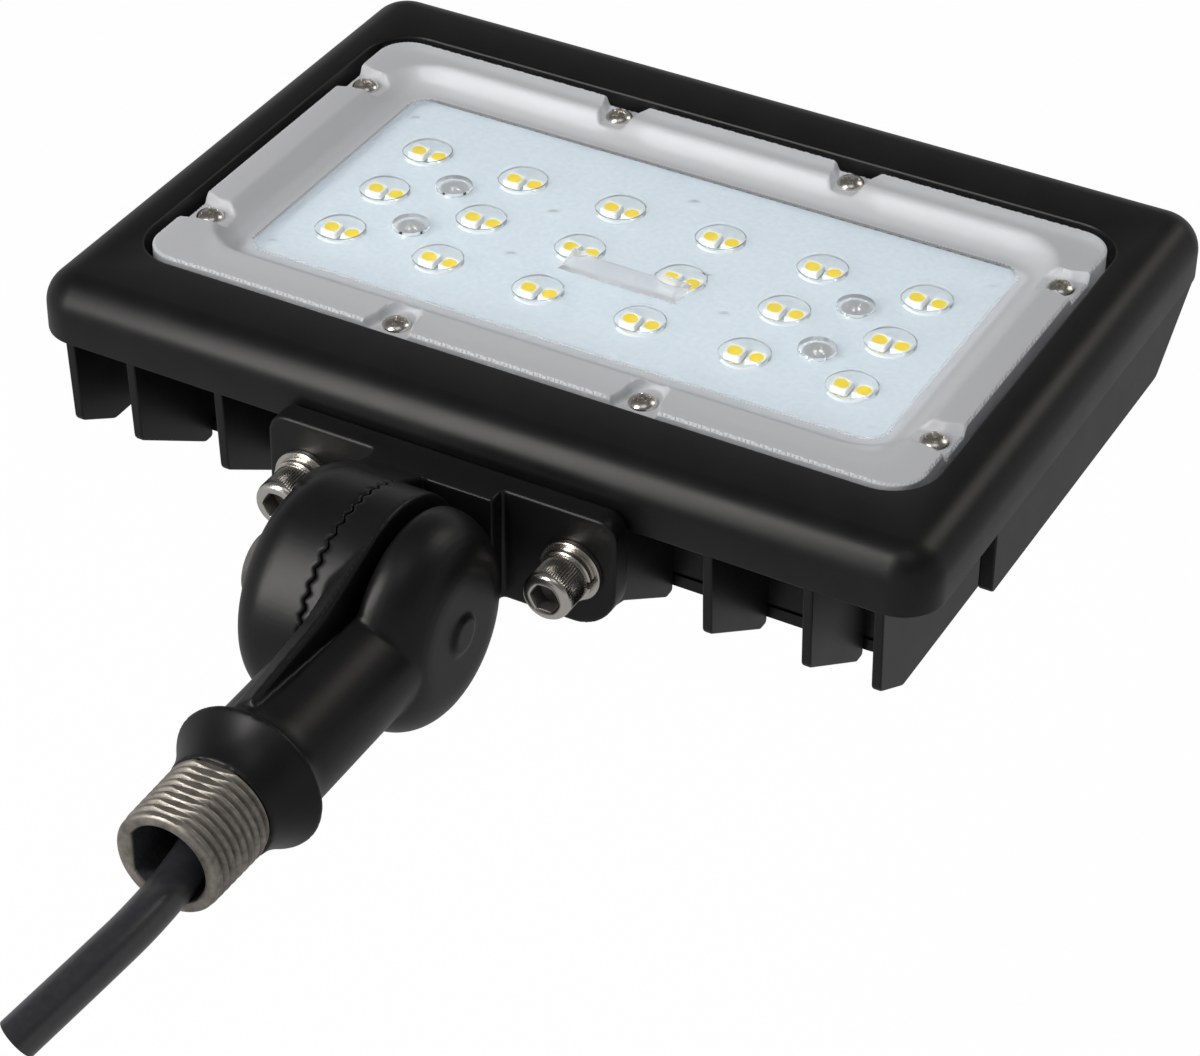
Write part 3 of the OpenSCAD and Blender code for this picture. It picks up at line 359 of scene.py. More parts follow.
jacket = speckled("glossyCableJacket", "#292a2d", "#313236", 1.5, 0.28, 0.1, 0.9)  # extruded PVC: smooth and glossy
print("materials made")


# Supply cable: its route repeats the solid's own points
supplyCable = {
    "route": [(0, 14, 0), (0, 8, -0.1), (0.3, 1, -0.8), (0.8, -6, -2.1), (1.3, -13, -3.1), (1.6, -20, -3.5),
              (1.6, -28, -3.7), (1.1, -36, -3.9), (0.3, -44, -4.4), (-0.9, -57, -5)],
    "diameter": 7.5,
    "sides": 40,
    "stepsPerRun": 6,
    "cutFace": (-0.455, -0.704, -0.548),  # where the cut end looks
    "slantRun": 9,  # the rings lean into the cut over this length
    "cutRings": (0.96, 0.6, 0.02),  # radii of the rings that close the end, as shares of the cable's
}


def smoothRoute(points, steps):
    # Catmull-Rom through the points: each run is a cubic set by its own two ends and their neighbours
    p = np.asarray(points, float)
    p = np.vstack([2 * p[0] - p[1], p, 2 * p[-1] - p[-2]])
    t = np.linspace(0, 1, steps, endpoint=False)[:, None]
    runs = [0.5 * (2 * b + (c - a) * t + (2 * a - 5 * b + 4 * c - d) * t**2 + (3 * b - a - 3 * c + d) * t**3)
            for a, b, c, d in zip(p, p[1:], p[2:], p[3:])]
    return np.vstack(runs + [p[-2:-1]])


def makeCable(c):
    # a tube: rings square to the route; towards the end they lean into the slanting cut
    route = smoothRoute(c["route"], c["stepsPerRun"])
    heading = np.gradient(route, axis=0)
    heading[0] = (0, -1, 0)
    heading /= np.linalg.norm(heading, axis=1)[:, None]
    side = np.cross(heading, [0, 0, 1.0])
    side /= np.linalg.norm(side, axis=1)[:, None]
    up = np.cross(side, heading)
    turn = np.arange(c["sides"]) * 2 * pi / c["sides"]
    ring = np.cos(turn)[None, :, None] * side[:, None] + np.sin(turn)[None, :, None] * up[:, None]
    radius = c["diameter"] / 2
    toEnd = np.linalg.norm(route - route[-1], axis=1)
    rows = [route[:, None] + ring * radius]
    rows += [route[-1][None, None] + ring[-1:] * radius * share for share in c["cutRings"]]
    near = np.concatenate([np.clip(1 - toEnd / c["slantRun"], 0, 1), np.ones(len(c["cutRings"]))])[:, None]
    points = np.concatenate(rows)
    cut = np.array(c["cutFace"]) / np.linalg.norm(c["cutFace"])
    slant = -((points - points.mean(axis=1, keepdims=True)) @ cut) / (heading[-1] @ cut) * near
    faces = gridFaces(len(points), c["sides"]) + endCaps(len(points), c["sides"])
    obj = meshObject("supplyLead", points + slant[..., None] * heading[-1], faces, jacket)
    faceOutwards(obj)
    place(obj, "stem", "cable_jacket", "supply_cable")


makeCable(supplyCable)
print("cable made")


# Housing: face band, driver box, fins, cheeks and the pad for the bracket
housing = {
    "skirt": 12.8,
    "cornerR": 8.5,
    "edgeR": 7,
    "wall": 3,
    "floor": 3.6,
    "lensGap": 2.9,
    "tighter": (0.5, 1.1),  # the opening's sides stand this much nearer to the lens than the solid's
    "lensR": 7,
    "ledgeBelowFace": 6.2,
    "recess": (71, 37.5, 3),
    "rimWall": 3,
    "mouthR": 0.6,
    "hemR": 0.45,
    "edgeSteps": 15,
    "hemSteps": 4,
    "cornerSteps": 14,
    "lap": 1,  # how far parts of the casting run into each other
    "floorLift": 0.05,
    "skirtLap": 0.2,
    "box": (80, 43, 6),
    "boxWall": 3,
    "boxInnerR": 4,
    "boxLap": 0.3,
    "boxDrop": 27,
    "finCount": 4,
    "finT": 2,
    "finFirst": 12.2,
    "finPitch": 20.05,
    "finEnd": 86.3,
    "finFront": 18,
    "finBehind": 0.05,
    "finRim": 53.1,
    "finR": 2,
    "finFootR": 0.8,
    "finEndR": 3,
    "finDraft": 1,
    "finEndDrop": 23.9,
    "finHeel": 10.5,
    "finLowY": 46,
    "finFootY": 43.4,
    "finFootH": 4.4,
    "finBelowSkirt": 31.4,
    "cheekDrop": 13.4,
    "cheekNear": 37,
    "cheekFar": 44,
    "cheekSlope": 60,
    "cheekR": (1.5, 3),
    "cheekInset": 0.02,
    "padHalfX": 33.2,
    "padLow": -11.7,
    "padStep": 4,
    "padHeel": 6,
    "padLap": 0.5,
    "padR": 1,
    "softEdge": 0.4,
}
halfX = (housingHigh[0] - housingLow[0]) / 2
halfY = (housingHigh[1] - housingLow[1]) / 2
skirtZ = faceZ - housing["skirt"]


def makeBand(h):
    # closed section walked from the hem, over the quarter-round edge, into the lens opening and back underneath
    edge, hem, mouth, wall, lap = h["edgeR"], h["hemR"], h["mouthR"], h["wall"], h["lap"]
    shoulder = faceZ - edge
    openX, openY = (lensHigh[:2] - lensLow[:2]) / 2 + h["lensGap"] - h["tighter"]
    openR = h["lensR"] + h["lensGap"]
    rimX, rimY, rimR = openX + h["rimWall"], openY + h["rimWall"], openR + h["rimWall"]
    quarter = np.radians(np.linspace(0, 90, h["edgeSteps"]))
    small = np.radians(np.linspace(0, 90, h["hemSteps"]))
    grow = [(-hem * (1 - sin(a)), skirtZ + hem * (1 - cos(a))) for a in small]
    grow += [(-edge * (1 - cos(a)), shoulder + edge * sin(a)) for a in quarter]
    levels = [(halfX + g, halfY + g, h["cornerR"] + g, z) for g, z in grow]
    levels += [(openX + mouth * (1 - sin(a)), openY + mouth * (1 - sin(a)), openR + mouth * (1 - sin(a)),
                faceZ - mouth * (1 - cos(a))) for a in small]
    ledge = faceZ - h["ledgeBelowFace"]
    recX, recY, recR = h["recess"]
    levels += [(openX, openY, openR, ledge), (recX, recY, recR, ledge), (recX, recY, recR, skirtZ),
               (rimX, rimY, rimR, skirtZ), (rimX, rimY, rimR, shoulder)]
    inX, inY, inR = halfX - wall, halfY - wall, h["cornerR"] - wall
    levels += [(inX, inY, inR, shoulder)]
    levels += [(inX + hem * (1 - cos(a)), inY + hem * (1 - cos(a)), inR + hem * (1 - cos(a)),
                skirtZ + hem * (1 - sin(a))) for a in small]
    points, faces = loft(levels, loop=True, perCorner=h["cornerSteps"])
    floor = loft([(recX + lap, recY + lap, recR, skirtZ + h["floorLift"]),
                  (recX + lap, recY + lap, recR, skirtZ + h["floor"])])
    boxX, boxY, boxR = h["box"]
    innerX, innerY, innerR = boxX - h["boxWall"], boxY - h["boxWall"], h["boxInnerR"]
    low, high = skirtZ - h["boxDrop"], skirtZ + h["boxLap"]
    box = loft([(boxX, boxY, boxR, high), (boxX, boxY, boxR, low), (innerX, innerY, innerR, low),
                (innerX, innerY, innerR, high)], loop=True)
    points, faces = joinParts([(points, faces), floor, box])
    obj = meshObject("faceBand", points + [headX, headY, 0], faces, coat)
    faceOutwards(obj)
    place(obj, "head", "black_cast_paint", "housing")


def makeFins(h):
    # each fin is an outline in Y and Z with rounded corners, carried along X; the far side is the near one mirrored
    top, skirt, finR, endR = skirtZ + h["lap"], skirtZ + h["skirtLap"], h["finR"], h["finEndR"]
    front, inside, rim = halfY - h["finBehind"], h["box"][1] - h["boxWall"], h["finRim"]
    under, low, mid = faceZ - h["edgeR"], skirtZ - h["finBelowSkirt"], skirtZ - h["finFront"]
    foot = front - h["finDraft"]
    fin = roundedOutline([(inside, top, 0), (rim, top, 0), (rim, under, 0), (front - h["wall"], under, 0),
                          (front, skirt, 0), (foot, mid, finR), (h["finLowY"], low, finR),
                          (h["finFootY"], low, h["finFootR"]), (h["finFootY"], low + h["finFootH"], 0),
                          (inside, low + h["finFootH"], 0)])
    heel, deep = foot - h["finHeel"], skirtZ - h["finEndDrop"]
    endFin = roundedOutline([(-front, top, 0), (-front, skirt, 0), (-foot, mid, finR), (-heel, deep, endR),
                             (heel, deep, endR), (foot, mid, finR), (front, skirt, 0), (front, top, 0)])
    cheekLow, (nearR, farR) = skirtZ - h["cheekDrop"], h["cheekR"]
    cheek = roundedOutline([(-h["cheekNear"], top, 0), (-h["cheekNear"], cheekLow, nearR),
                            (h["cheekFar"], cheekLow, farR), (h["cheekSlope"], skirt, 0),
                            (h["cheekSlope"], top, 0)])
    back, padTop, padHeel = h["padLap"] - h["box"][1], skirtZ + 2 * h["lap"], h["padLow"] - h["padHeel"]
    pad = roundedOutline([(-halfY, padTop, 0), (-halfY, h["padLow"], h["padR"]),
                          (-h["box"][1] - h["padStep"], padHeel, h["padR"]), (back, padHeel, 0), (back, padTop, 0)])
    parts = []
    for i in range(h["finCount"]):
        for side in (-1, 1):
            x = side * (h["finFirst"] + i * h["finPitch"])
            parts += [plateX(fin, x, h["finT"]), plateX(fin * [-1, 1], x, h["finT"])]
    for side in (-1, 1):
        parts += [plateX(endFin, side * h["finEnd"], h["finT"]),
                  plateX(cheek, side * (halfX - h["wall"] / 2 - h["cheekInset"]), h["wall"])]
    parts.append(plateX(pad, 0, 2 * h["padHalfX"]))
    points, faces = joinParts(parts)
    obj = meshObject("coolingFins", points + [headX, headY, 0], faces, coat)
    faceOutwards(obj)
    softenEdges(obj, h["softEdge"])
    place(obj, "head", "black_cast_paint", "housing")


makeBand(housing)
makeFins(housing)
print("housing made")


# Castings of the knuckle: the solids' own meshes, closed up and softened as a casting's edges are
castings = {
    "voxel": {"bracket": 0.4, "stem": 0.45},
    "rounds": 4,
    "stubScale": 0.06,  # the solid's thread shrinks to this share of its length
    "stubR": 9.0,
    "threadR": 10.53,  # just outside the solid's thread
    "shoulder": (-0.005, 0.05),  # the thread's points lie below the first, its root's below the second
    "slotEnd": (-0.65, 15.0, 8.2),  # middle of the slots' floors at the collar
    "slotNear": (0.85, 0.1, 0.1),
    "slotRise": 3.05,
}


def softCasting(name, node, c, reshape=None):
    # copy, merge, voxel remesh, then average neighbouring points so that every edge gets a small round
    mesh = nodes[node].data.copy()
    bm = bmesh.new()
    bm.from_mesh(mesh)
    bmesh.ops.remove_doubles(bm, verts=bm.verts, dist=1e-6)
    bm.to_mesh(mesh)
    bm.free()
    if reshape is not None:
        flat = np.zeros(len(mesh.vertices) * 3)
        mesh.vertices.foreach_get("co", flat)
        mesh.vertices.foreach_set("co", (reshape(flat.reshape(-1, 3) / mm) * mm).ravel())
    rough = bpy.data.objects.new(name, mesh)
    bpy.context.scene.collection.objects.link(rough)
    grid = rough.modifiers.new("grid", "REMESH")
    grid.mode, grid.voxel_size, grid.use_smooth_shade = "VOXEL", c["voxel"][node] * mm, True
    soft = rough.modifiers.new("soft", "SMOOTH")
    soft.factor, soft.iterations = 0.5, c["rounds"]
    bpy.context.view_layer.update()
    done = bpy.data.meshes.new_from_object(rough.evaluated_get(bpy.context.evaluated_depsgraph_get()))
    bpy.data.objects.remove(rough)
    done.name = name
    done.materials.clear()
    done.materials.append(coat)
    done.polygons.foreach_set("use_smooth", np.ones(len(done.polygons), bool))
    obj = bpy.data.objects.new(name, done)
    bpy.context.scene.collection.objects.link(obj)
    print(name, len(done.polygons), "faces")
    return obj


def reshapeStem(p):
    # the thread shrinks to a short stub inside the collar, since the bare thread is a sleeve of its own, and the
    # floors of the two slots beside the rib rise to the stem's skin at the collar
    c, out = castings, p.copy()
    slot = (np.abs(np.column_stack([p[:, :2], np.abs(p[:, 2])]) - c["slotEnd"]) < c["slotNear"]).all(axis=1)
    out[slot, 2] += np.sign(p[slot, 2]) * c["slotRise"]
    below, above = c["shoulder"]
    out[p[:, 1] < below, 1] *= c["stubScale"]
    r = np.hypot(p[:, 0], p[:, 2])
    wide = (p[:, 1] < above) & (r > c["stubR"]) & (r < c["threadR"])
    out[:, ::2] *= np.where(wide, c["stubR"] / np.maximum(r, 1e-6), 1)[:, None]
    return out


place(softCasting("knuckleBracket", "bracket", castings), "head", "black_cast_paint", "bracket")
place(softCasting("knuckleStem", "stem", castings, reshapeStem), "stem", "black_cast_paint", "stem")
print("castings made")


# Conduit thread: a bare sleeve with a rolling crest, a flat along its top from the mould, and a D-shaped bore
thread = {
    "length": 16,
    "inside": 0.8,
    "crestR": 10.35,
    "depth": 0.95,
    "pitch": 1.814,  # 14 threads an inch
    "taper": 0.03,
    "crestPower": 1.6,  # above 1 the crests are broader than the roots
    "rimLength": 1.6,
    "rimR": 9.95,
    "rimBlend": (0.6, 0.9),
    "rimRounds": ((0.12, 0.35), (0.35, 0.1), (0.7, 0)),  # (in from the rim, up from the end)
    "threadEnd": 0.5,  # the rows of the thread stop this far above the end
    "neck": (-0.3, 9.9),  # above this height the crests stay inside the collar
    "flatAt": 9.52,
    "boreR": 7.6,
    "boreFlat": 6.5,
    "boreRounds": ((0.45, 0), (0.15, 0.15), (0, 0.5)),  # (out from the bore, up from the end)
    "boreMid": -6.0,
    "bareRows": 2,  # rows of the bore's mouth that are still bare metal
    "sides": 180,
    "stepY": 0.13,
}


def makeThread(t):
    # outer radius = crest - depth * (1 - rounded crest wave) with wave phase y / pitch + angle / 360
    end, (before, run), (neckY, neckR) = -t["length"], t["rimBlend"], t["neck"]
    y = np.arange(t["inside"], end + t["threadEnd"], -t["stepY"])[:, None]
    angle = (np.arange(t["sides"]) * 2 * pi / t["sides"])[None, :]
    wave = 0.5 + 0.5 * np.cos(2 * pi * (y / t["pitch"] + angle / (2 * pi)))
    crest = 1 - (1 - wave) ** t["crestPower"]
    radius = t["crestR"] + t["taper"] * y * 0.5 - t["depth"] * (1 - crest)
    blend = easeStep((y + t["length"] - t["rimLength"] + before) / run)
    radius = t["rimR"] * (1 - blend) + radius * blend
    radius = np.where(y > neckY, np.minimum(radius, neckR), radius)
    up, left = np.sin(angle), -np.cos(angle)
    radius = np.where(up > 0.5, np.minimum(radius, t["flatAt"] / np.maximum(up, 1e-3)), radius)
    bore = np.where(left > 0, np.minimum(t["boreR"], t["boreFlat"] / np.maximum(left, 1e-3)), t["boreR"])

    def ring(radius, height):
        return np.stack([radius * np.cos(angle), height + 0 * angle, radius * np.sin(angle)], -1)

    rows = [ring(radius, y)] + [ring(t["rimR"] - pull, end + rise) for pull, rise in t["rimRounds"]]
    rows += [ring(bore + grow, end + rise) for grow, rise in t["boreRounds"]]
    rows += [ring(bore, height) for height in (t["boreMid"], t["inside"])]
    grid = np.concatenate(rows)
    bare = len(y) + len(t["rimRounds"]) + t["bareRows"]
    slots = np.where(np.arange(len(grid)) < bare, 0, 1).repeat(t["sides"])
    faces = gridFaces(len(grid), t["sides"], loop=True)
    obj = meshObject("conduitThread", grid, faces, [bareMetal, darkGreyBore], slots, 50)
    faceOutwards(obj)
    place(obj, "stem", "black_cast_paint", "stem")


makeThread(thread)
print("thread made")


# Lens: one moulding seen from above as a height over the plan, with a matching underside
lens = {
    "halfX": 82.7,
    "halfY": 48.7,
    "cornerR": 7,
    "top": 20.0,
    "base": 16.0,
    "under": 14.0,
    "edgeRound": 0.5,
    "footInset": 12.4,
    "brimInset": 6.5,
    "farther": 1.25,  # the window's middle lies this much beyond the lens's
    "footR": 6,
    "slopePower": 1.7,
    "brimRound": 0.25,
    "screwInset": 4,
    "screwX": 26.5,
    "screwY": 29.5,
    "notchR": 3.6,
    "notchIn": 6.0,
    "notchFlare": 1.1,
    "notchReach": 8,
    "notchWall": 1.2,
    "notchFloor": 18.0,
    "screwSeat": 17.55,
    "pitch": (22.5, 17),
    "count": (6, 3),
    "domeR": 5.2,
    "domeH": 1.1,
    "domeStep": 0.12,
    "pocketR": 4.75,
    "pocketLean": 0.4,
    "pocketH": 1.1,
    "roofR": 22,
    "boss": (45, 8.5),
    "bossR": 3.8,
    "bossH": 1.0,
    "pins": [(-22.4, 9.2), (0.5, 26.5), (-22, -8.6), (15.3, 3.3), (24.3, -7.1)],
    "pinR": 2.3,
    "pinH": 0.25,
    "corner": (65.5, 27.5),
    "cornerMarkR": 2.0,
    "cornerMarkH": 0.2,
    "bar": (2, -6.0, 13.4, 3.8, 0.8),  # the gate mark: middle, half sizes and height
    "barR": 0.3,
    "barEdge": 1.5,
    "frost": (1.2, 2.1),  # the frost runs this far into the window, and its haze this far
    "bossEdge": 0.1,
    # where the plan's points go: spacing along the outlines, steps of the arcs, and the rings of each feature
    "spacing": {"edge": 0.55, "inset": 0.9, "slope": 0.75, "bar": 0.8, "coarse": 2.6},
    "arcSteps": {"edge": 12, "slope": 10, "bar": 2, "dome": 56, "middle": 28, "boss": 44, "mark": 32, "notch": 28},
    "middleR": 4,
    "edgeInsets": (0.12, 0.3, 0.55, 1.5),
    "slopeRings": (-0.36, 1.32, 22),
    "domeRings": (5.7, 5.24, 5.15, 4.75, 4.3, 3.4, 2.4, 1.4, 0.7),
    "bossRings": (4.1, 3.85, 3.75, 2.5, 1.2),
    "markRings": (1.1, 1, 0.85, 0.65, 0.45, 0.25),
    "notchRings": (-2.4, -1.4, -0.62, -0.42, -0.2, 0, 0.2, 0.42, 0.62, 1.3),
    "notchRun": (0.25, 3.4, 12),
    "barInsets": (0, 0.25, 0.5, 0.75, 1.0, 1.25, 1.5),
    "margin": (2, 1),
    "clear": (6.2, 4.6, 1.6, 0.05),  # the coarse grid's distance from round lenses, hollows, notches and the edge
}


def boxDistance(x, y, hx, hy, r):
    # signed distance to a rounded rectangle, below zero inside
    qx, qy = np.abs(x) - (hx - r), np.abs(y) - (hy - r)
    return np.hypot(np.maximum(qx, 0), np.maximum(qy, 0)) + np.minimum(np.maximum(qx, qy), 0) - r


def lightPoints(c):
    px, py = c["pitch"]
    nx, ny = c["count"]
    return [((i - (nx - 1) / 2) * px, (j - (ny - 1) / 2) * py) for i in range(nx) for j in range(ny)]


def lensScrews(c):
    # (x, y, outward x, outward y) of each lens screw, from the head's middle
    inX, inY = c["halfX"] - c["screwInset"], c["halfY"] - c["screwInset"]
    long = [(x, s * inY, 0, s) for s in (-1, 1) for x in (-c["screwX"], c["screwX"])]
    short = [(s * inX, y, s, 0) for s in (-1, 1) for y in (-c["screwY"], c["screwY"])]
    return long + short


def notchDistance(x, y, c):
    # below zero in a notch: round behind the screw, and flaring towards the lens's edge in an S-curve
    far = 99.0
    best = np.full(np.shape(x), far)
    for sx, sy, ox, oy in lensScrews(c):
        out = (x - sx) * ox + (y - sy) * oy
        side = np.abs((x - sx) * oy + (y - sy) * ox)
        width = c["notchR"] + c["notchFlare"] * easeStep(out / c["screwInset"])
        d = np.where(out < 0, np.hypot(out * c["notchR"] / c["notchIn"], side) - c["notchR"], side - width)
        best = np.minimum(best, np.where(out < -c["notchReach"], far, d))
    return best


def nearest(x, y, centres):
    # distance to the nearest of the centres
    return np.min([np.hypot(x - cx, y - cy) for cx, cy in centres], axis=0)


def fourPlaces(x, y):
    return [(sx * x, sy * y) for sx in (-1, 1) for sy in (-1, 1)]


def footDistance(x, y, c):
    # distance from the window's edge, below zero inside; its far side keeps its place and its near side comes in
    footX, footY = c["halfX"] - c["footInset"], c["halfY"] - c["footInset"] - c["farther"]
    return boxDistance(x, y - c["farther"], footX, footY, c["footR"])


def lensTop(x, y, c):
    # height of the upper side: window floor, sloping sides, brim, notches, round lenses and the gate's bar
    t = footDistance(x, y, c) / (c["footInset"] - c["brimInset"])
    raw = np.maximum(t, 0) ** c["slopePower"]
    h = np.clip(0.5 + 0.5 * (1 - raw) / c["brimRound"], 0, 1)
    slope = 1 - h + raw * h - c["brimRound"] * h * (1 - h)  # the two joined by a smooth minimum
    z = c["base"] + (c["top"] - c["base"]) * slope
    floor = np.minimum(z, c["notchFloor"])
    z = floor + (z - floor) * easeStep(notchDistance(x, y, c) / c["notchWall"] + 0.5)
    edge = boxDistance(x, y, c["halfX"], c["halfY"], c["cornerR"]) + c["edgeRound"]
    z = z - (c["edgeRound"] - np.sqrt(np.maximum(c["edgeRound"]**2 - np.maximum(edge, 0)**2, 0)))
    r = nearest(x, y, lightPoints(c))
    high = c["domeH"] - c["domeStep"]
    ball = (c["domeR"]**2 + high**2) / (2 * high)
    cap = c["domeH"] - ball + np.sqrt(np.maximum(ball**2 - r**2, 0))
    z = z + np.where(r < c["domeR"], np.maximum(cap, 0), 0)
    bx, by, bw, bh, rise = c["bar"]
    bar = boxDistance(x - bx, y - by, bw, bh, c["barR"])
    return z + rise * (1 - easeStep(bar / c["barEdge"] + 1))


def lensUnder(x, y, c):
    # height of the underside: flat, with shallow marks of the mould, a hollow over each board screw and one under
    # each round lens, whose roof is a flatter ball than the cap's, so that no light is lost to total reflection
    r = nearest(x, y, lightPoints(c))
    roof = c["roofR"]
    hollow = c["pocketH"] - roof + np.sqrt(np.maximum(roof**2 - r**2, 0))
    hollow = hollow * np.clip((c["pocketR"] - r) / c["pocketLean"] + 1, 0, 1)
    boss = nearest(x, y, fourPlaces(*c["boss"]))
    marks = c["pinH"] * (1 - easeStep(nearest(x, y, c["pins"]) / c["pinR"]))
    marks = marks + c["cornerMarkH"] * (1 - easeStep(nearest(x, y, fourPlaces(*c["corner"])) / c["cornerMarkR"]))
    return c["under"] + hollow + marks + np.where(boss < c["bossR"], c["bossH"], 0)


def spread(loop, step):
    # points about a step apart along a closed outline
    nextOnes = np.roll(loop, -1, axis=0)
    out = []
    for a, b in zip(loop, nextOnes):
        n = max(1, int(np.linalg.norm(b - a) / step + 0.5))
        out.append(a + (b - a) * (np.arange(n) / n)[:, None])
    return np.concatenate(out)


def circle(cx, cy, r, n):
    turn = np.arange(n) * 2 * pi / n
    return np.column_stack([cx + r * np.cos(turn), cy + r * np.sin(turn)])


def lensPlan(c):
    # plan points: the edge first, then rings along every feature, then a coarse grid over the rest
    space, steps = c["spacing"], c["arcSteps"]

    def outline(inset, radius, step, perCorner, away=0):
        ring = ringOutline(c["halfX"] - inset, c["halfY"] - inset - away, radius, perCorner)
        return spread(ring + [0, away], step)

    edge = outline(0, c["cornerR"], space["edge"], steps["edge"])
    sets = [outline(inset, c["cornerR"] - inset, space["inset"], steps["edge"]) for inset in c["edgeInsets"]]
    for back in np.linspace(*c["slopeRings"]):
        inset = c["brimInset"] + (c["footInset"] - c["brimInset"]) * back
        radius = c["footR"] + c["footInset"] - inset
        sets.append(outline(inset, radius, space["slope"], steps["slope"], c["farther"]))
    for cx, cy in lightPoints(c):
        sets += [circle(cx, cy, r, steps["dome" if r > c["middleR"] else "middle"]) for r in c["domeRings"]]
        sets.append(np.array([[cx, cy]]))
    for cx, cy in fourPlaces(*c["boss"]):
        sets += [circle(cx, cy, r, steps["boss"]) for r in c["bossRings"]]
    for places, r in ((c["pins"], c["pinR"]), (fourPlaces(*c["corner"]), c["cornerMarkR"])):
        for cx, cy in places:
            sets += [circle(cx, cy, r * share, steps["mark"]) for share in c["markRings"]]
    arc, run = np.radians(np.linspace(-90, 90, steps["notch"])), np.linspace(*c["notchRun"])
    for sx, sy, ox, oy in lensScrews(c):
        for wider in c["notchRings"]:
            r = c["notchR"] + wider
            flare = r + c["notchFlare"] * easeStep(run / c["screwInset"])
            out = np.concatenate([-r * np.cos(arc) * c["notchIn"] / c["notchR"], run, run])
            side = np.concatenate([r * np.sin(arc), flare, -flare])
            sets.append(np.column_stack([sx + out * ox + side * oy, sy + out * oy + side * ox]))
    bx, by, bw, bh = c["bar"][:4]
    for inset in c["barInsets"]:
        ring = ringOutline(bw - inset, bh - inset, c["barR"], steps["bar"])
        sets.append(spread(ring, space["bar"]) + [bx, by])
    low, high = c["margin"]
    gx, gy = np.meshgrid(np.arange(-c["halfX"] + low, c["halfX"] - high, space["coarse"]),
                         np.arange(-c["halfY"] + low, c["halfY"] - high, space["coarse"]))
    coarse = np.column_stack([gx.ravel(), gy.ravel()])
    fromDome, fromBoss, fromNotch, fromEdge = c["clear"]
    free = nearest(*coarse.T, lightPoints(c)) > fromDome
    free &= nearest(*coarse.T, fourPlaces(*c["boss"])) > fromBoss
    free &= notchDistance(*coarse.T, c) > fromNotch
    sets.append(coarse[free])
    inner = np.concatenate(sets)
    inside = boxDistance(*inner.T, c["halfX"], c["halfY"], c["cornerR"]) < -fromEdge
    return edge, inner[inside]


def makeLens(c):
    # the plan's triangles carried up to the two heights, joined by a wall round the edge
    edge, inner = lensPlan(c)
    plan = np.round(np.concatenate([edge, inner]), 4)
    n = len(edge)
    loop = [(i, (i + 1) % n) for i in range(n)]
    # 1 keeps the triangles inside the edge's loop, and points within 0.02 mm of each other are merged
    found = delaunay_2d_cdt([Vector(p) for p in plan], loop, [], 1, 0.02)
    flat = np.array([tuple(v) for v in found[0]])
    tris = np.array([list(f) for f in found[2]])
    edgeOf = {}  # each edge point's number in the triangulation
    for new, olds in enumerate(found[3]):
        for old in olds:
            if old < n:
                edgeOf[old] = new
    count = len(flat)
    ids = [edgeOf[k] for k in range(n)]
    walls = [[a, b, b + count, a + count] for a, b in zip(ids, ids[1:] + ids[:1]) if a != b]
    faces = tris.tolist() + (tris[:, ::-1] + count).tolist() + walls
    x, y = flat[tris].mean(axis=1).T
    bx, by, bw, bh = c["bar"][:4]
    bar = boxDistance(x - bx, y - by, bw - c["barR"], bh - c["barR"], c["barR"]) < 0
    fromFoot, fromPoint = footDistance(x, y, c), nearest(x, y, lightPoints(c))
    frosted, haze = c["frost"]
    above = np.where(fromFoot > -frosted, 1, np.where((fromFoot > -haze) | bar, 3, 0))
    pocketWall = (fromPoint > c["pocketR"]) & (fromPoint < c["pocketR"] + c["pocketLean"])
    inBoss = nearest(x, y, fourPlaces(*c["boss"])) < c["bossR"] - c["bossEdge"]
    below = np.where(pocketWall, 2, np.where(inBoss, 3, 0))
    slots = np.concatenate([above, below, np.ones(len(walls), int)])
    x, y = flat.T
    points = np.concatenate([np.column_stack([x, y, height(x, y, c)]) for height in (lensTop, lensUnder)])
    obj = meshObject("lensMoulding", points + [headX, headY, 0], faces,
                     [clearLens, frostedLens, milkyLens, hazyLens], slots, 30)
    faceOutwards(obj)
    place(obj, "head", "clear_lens", "lens")
    print("lens", len(faces), "faces")


makeLens(lens)
print("lens made")


# Light points: two packages each, a white body with a round yellow phosphor window and a dark solder line below
ledPackage = {
    "side": 3.4,
    "height": 1.15,
    "round": 0.12,
    "solderTop": 0.1,
    "bodyFoot": 0.12,
    "solderIn": 0.06,
    "windowR": 1.38,
    "windowRim": 0.06,
    "dish": 0.05,
    "hub": 0.02,
    "sides": 32,
    "pair": 4.36,
    "bottom": 13.1,
    "shift": (-0.1, 0.75),  # from the middle of the round lens, so that it shows the pair where the photo has it
}


def packageShape(p):
    # square rings from the foot up to the top, then circles into the dished window: (half side, squareness, z)
    n = p["sides"]
    turn = (np.arange(n) + 0.5) * 2 * pi / n
    square = 1 / np.maximum(np.abs(np.cos(turn)), np.abs(np.sin(turn)))
    half, h, e, r, floor = p["side"] / 2, p["height"], p["round"], p["windowR"], p["height"] - p["dish"]
    rows = [(half - p["solderIn"], 1, 0), (half - p["solderIn"], 1, p["solderTop"]), (half, 1, p["bodyFoot"]),
            (half, 1, h - e), (half - e, 1, h), (r + p["windowRim"], 0, h), (r, 0, floor), (r * 0.5, 0, floor),
            (p["hub"], 0, floor)]
    rings = []
    for size, squareness, z in rows:
        radius = size * (square * squareness + (1 - squareness))
        rings.append(np.column_stack([radius * np.cos(turn), radius * np.sin(turn), np.full(n, z)]))
    kinds = [2] * (2 * n) + [0] * (4 * n) + [1] * (2 * n) + [0, 1]  # solder, body, window and the two caps
    return np.concatenate(rings), gridFaces(len(rings), n) + endCaps(len(rings), n), kinds


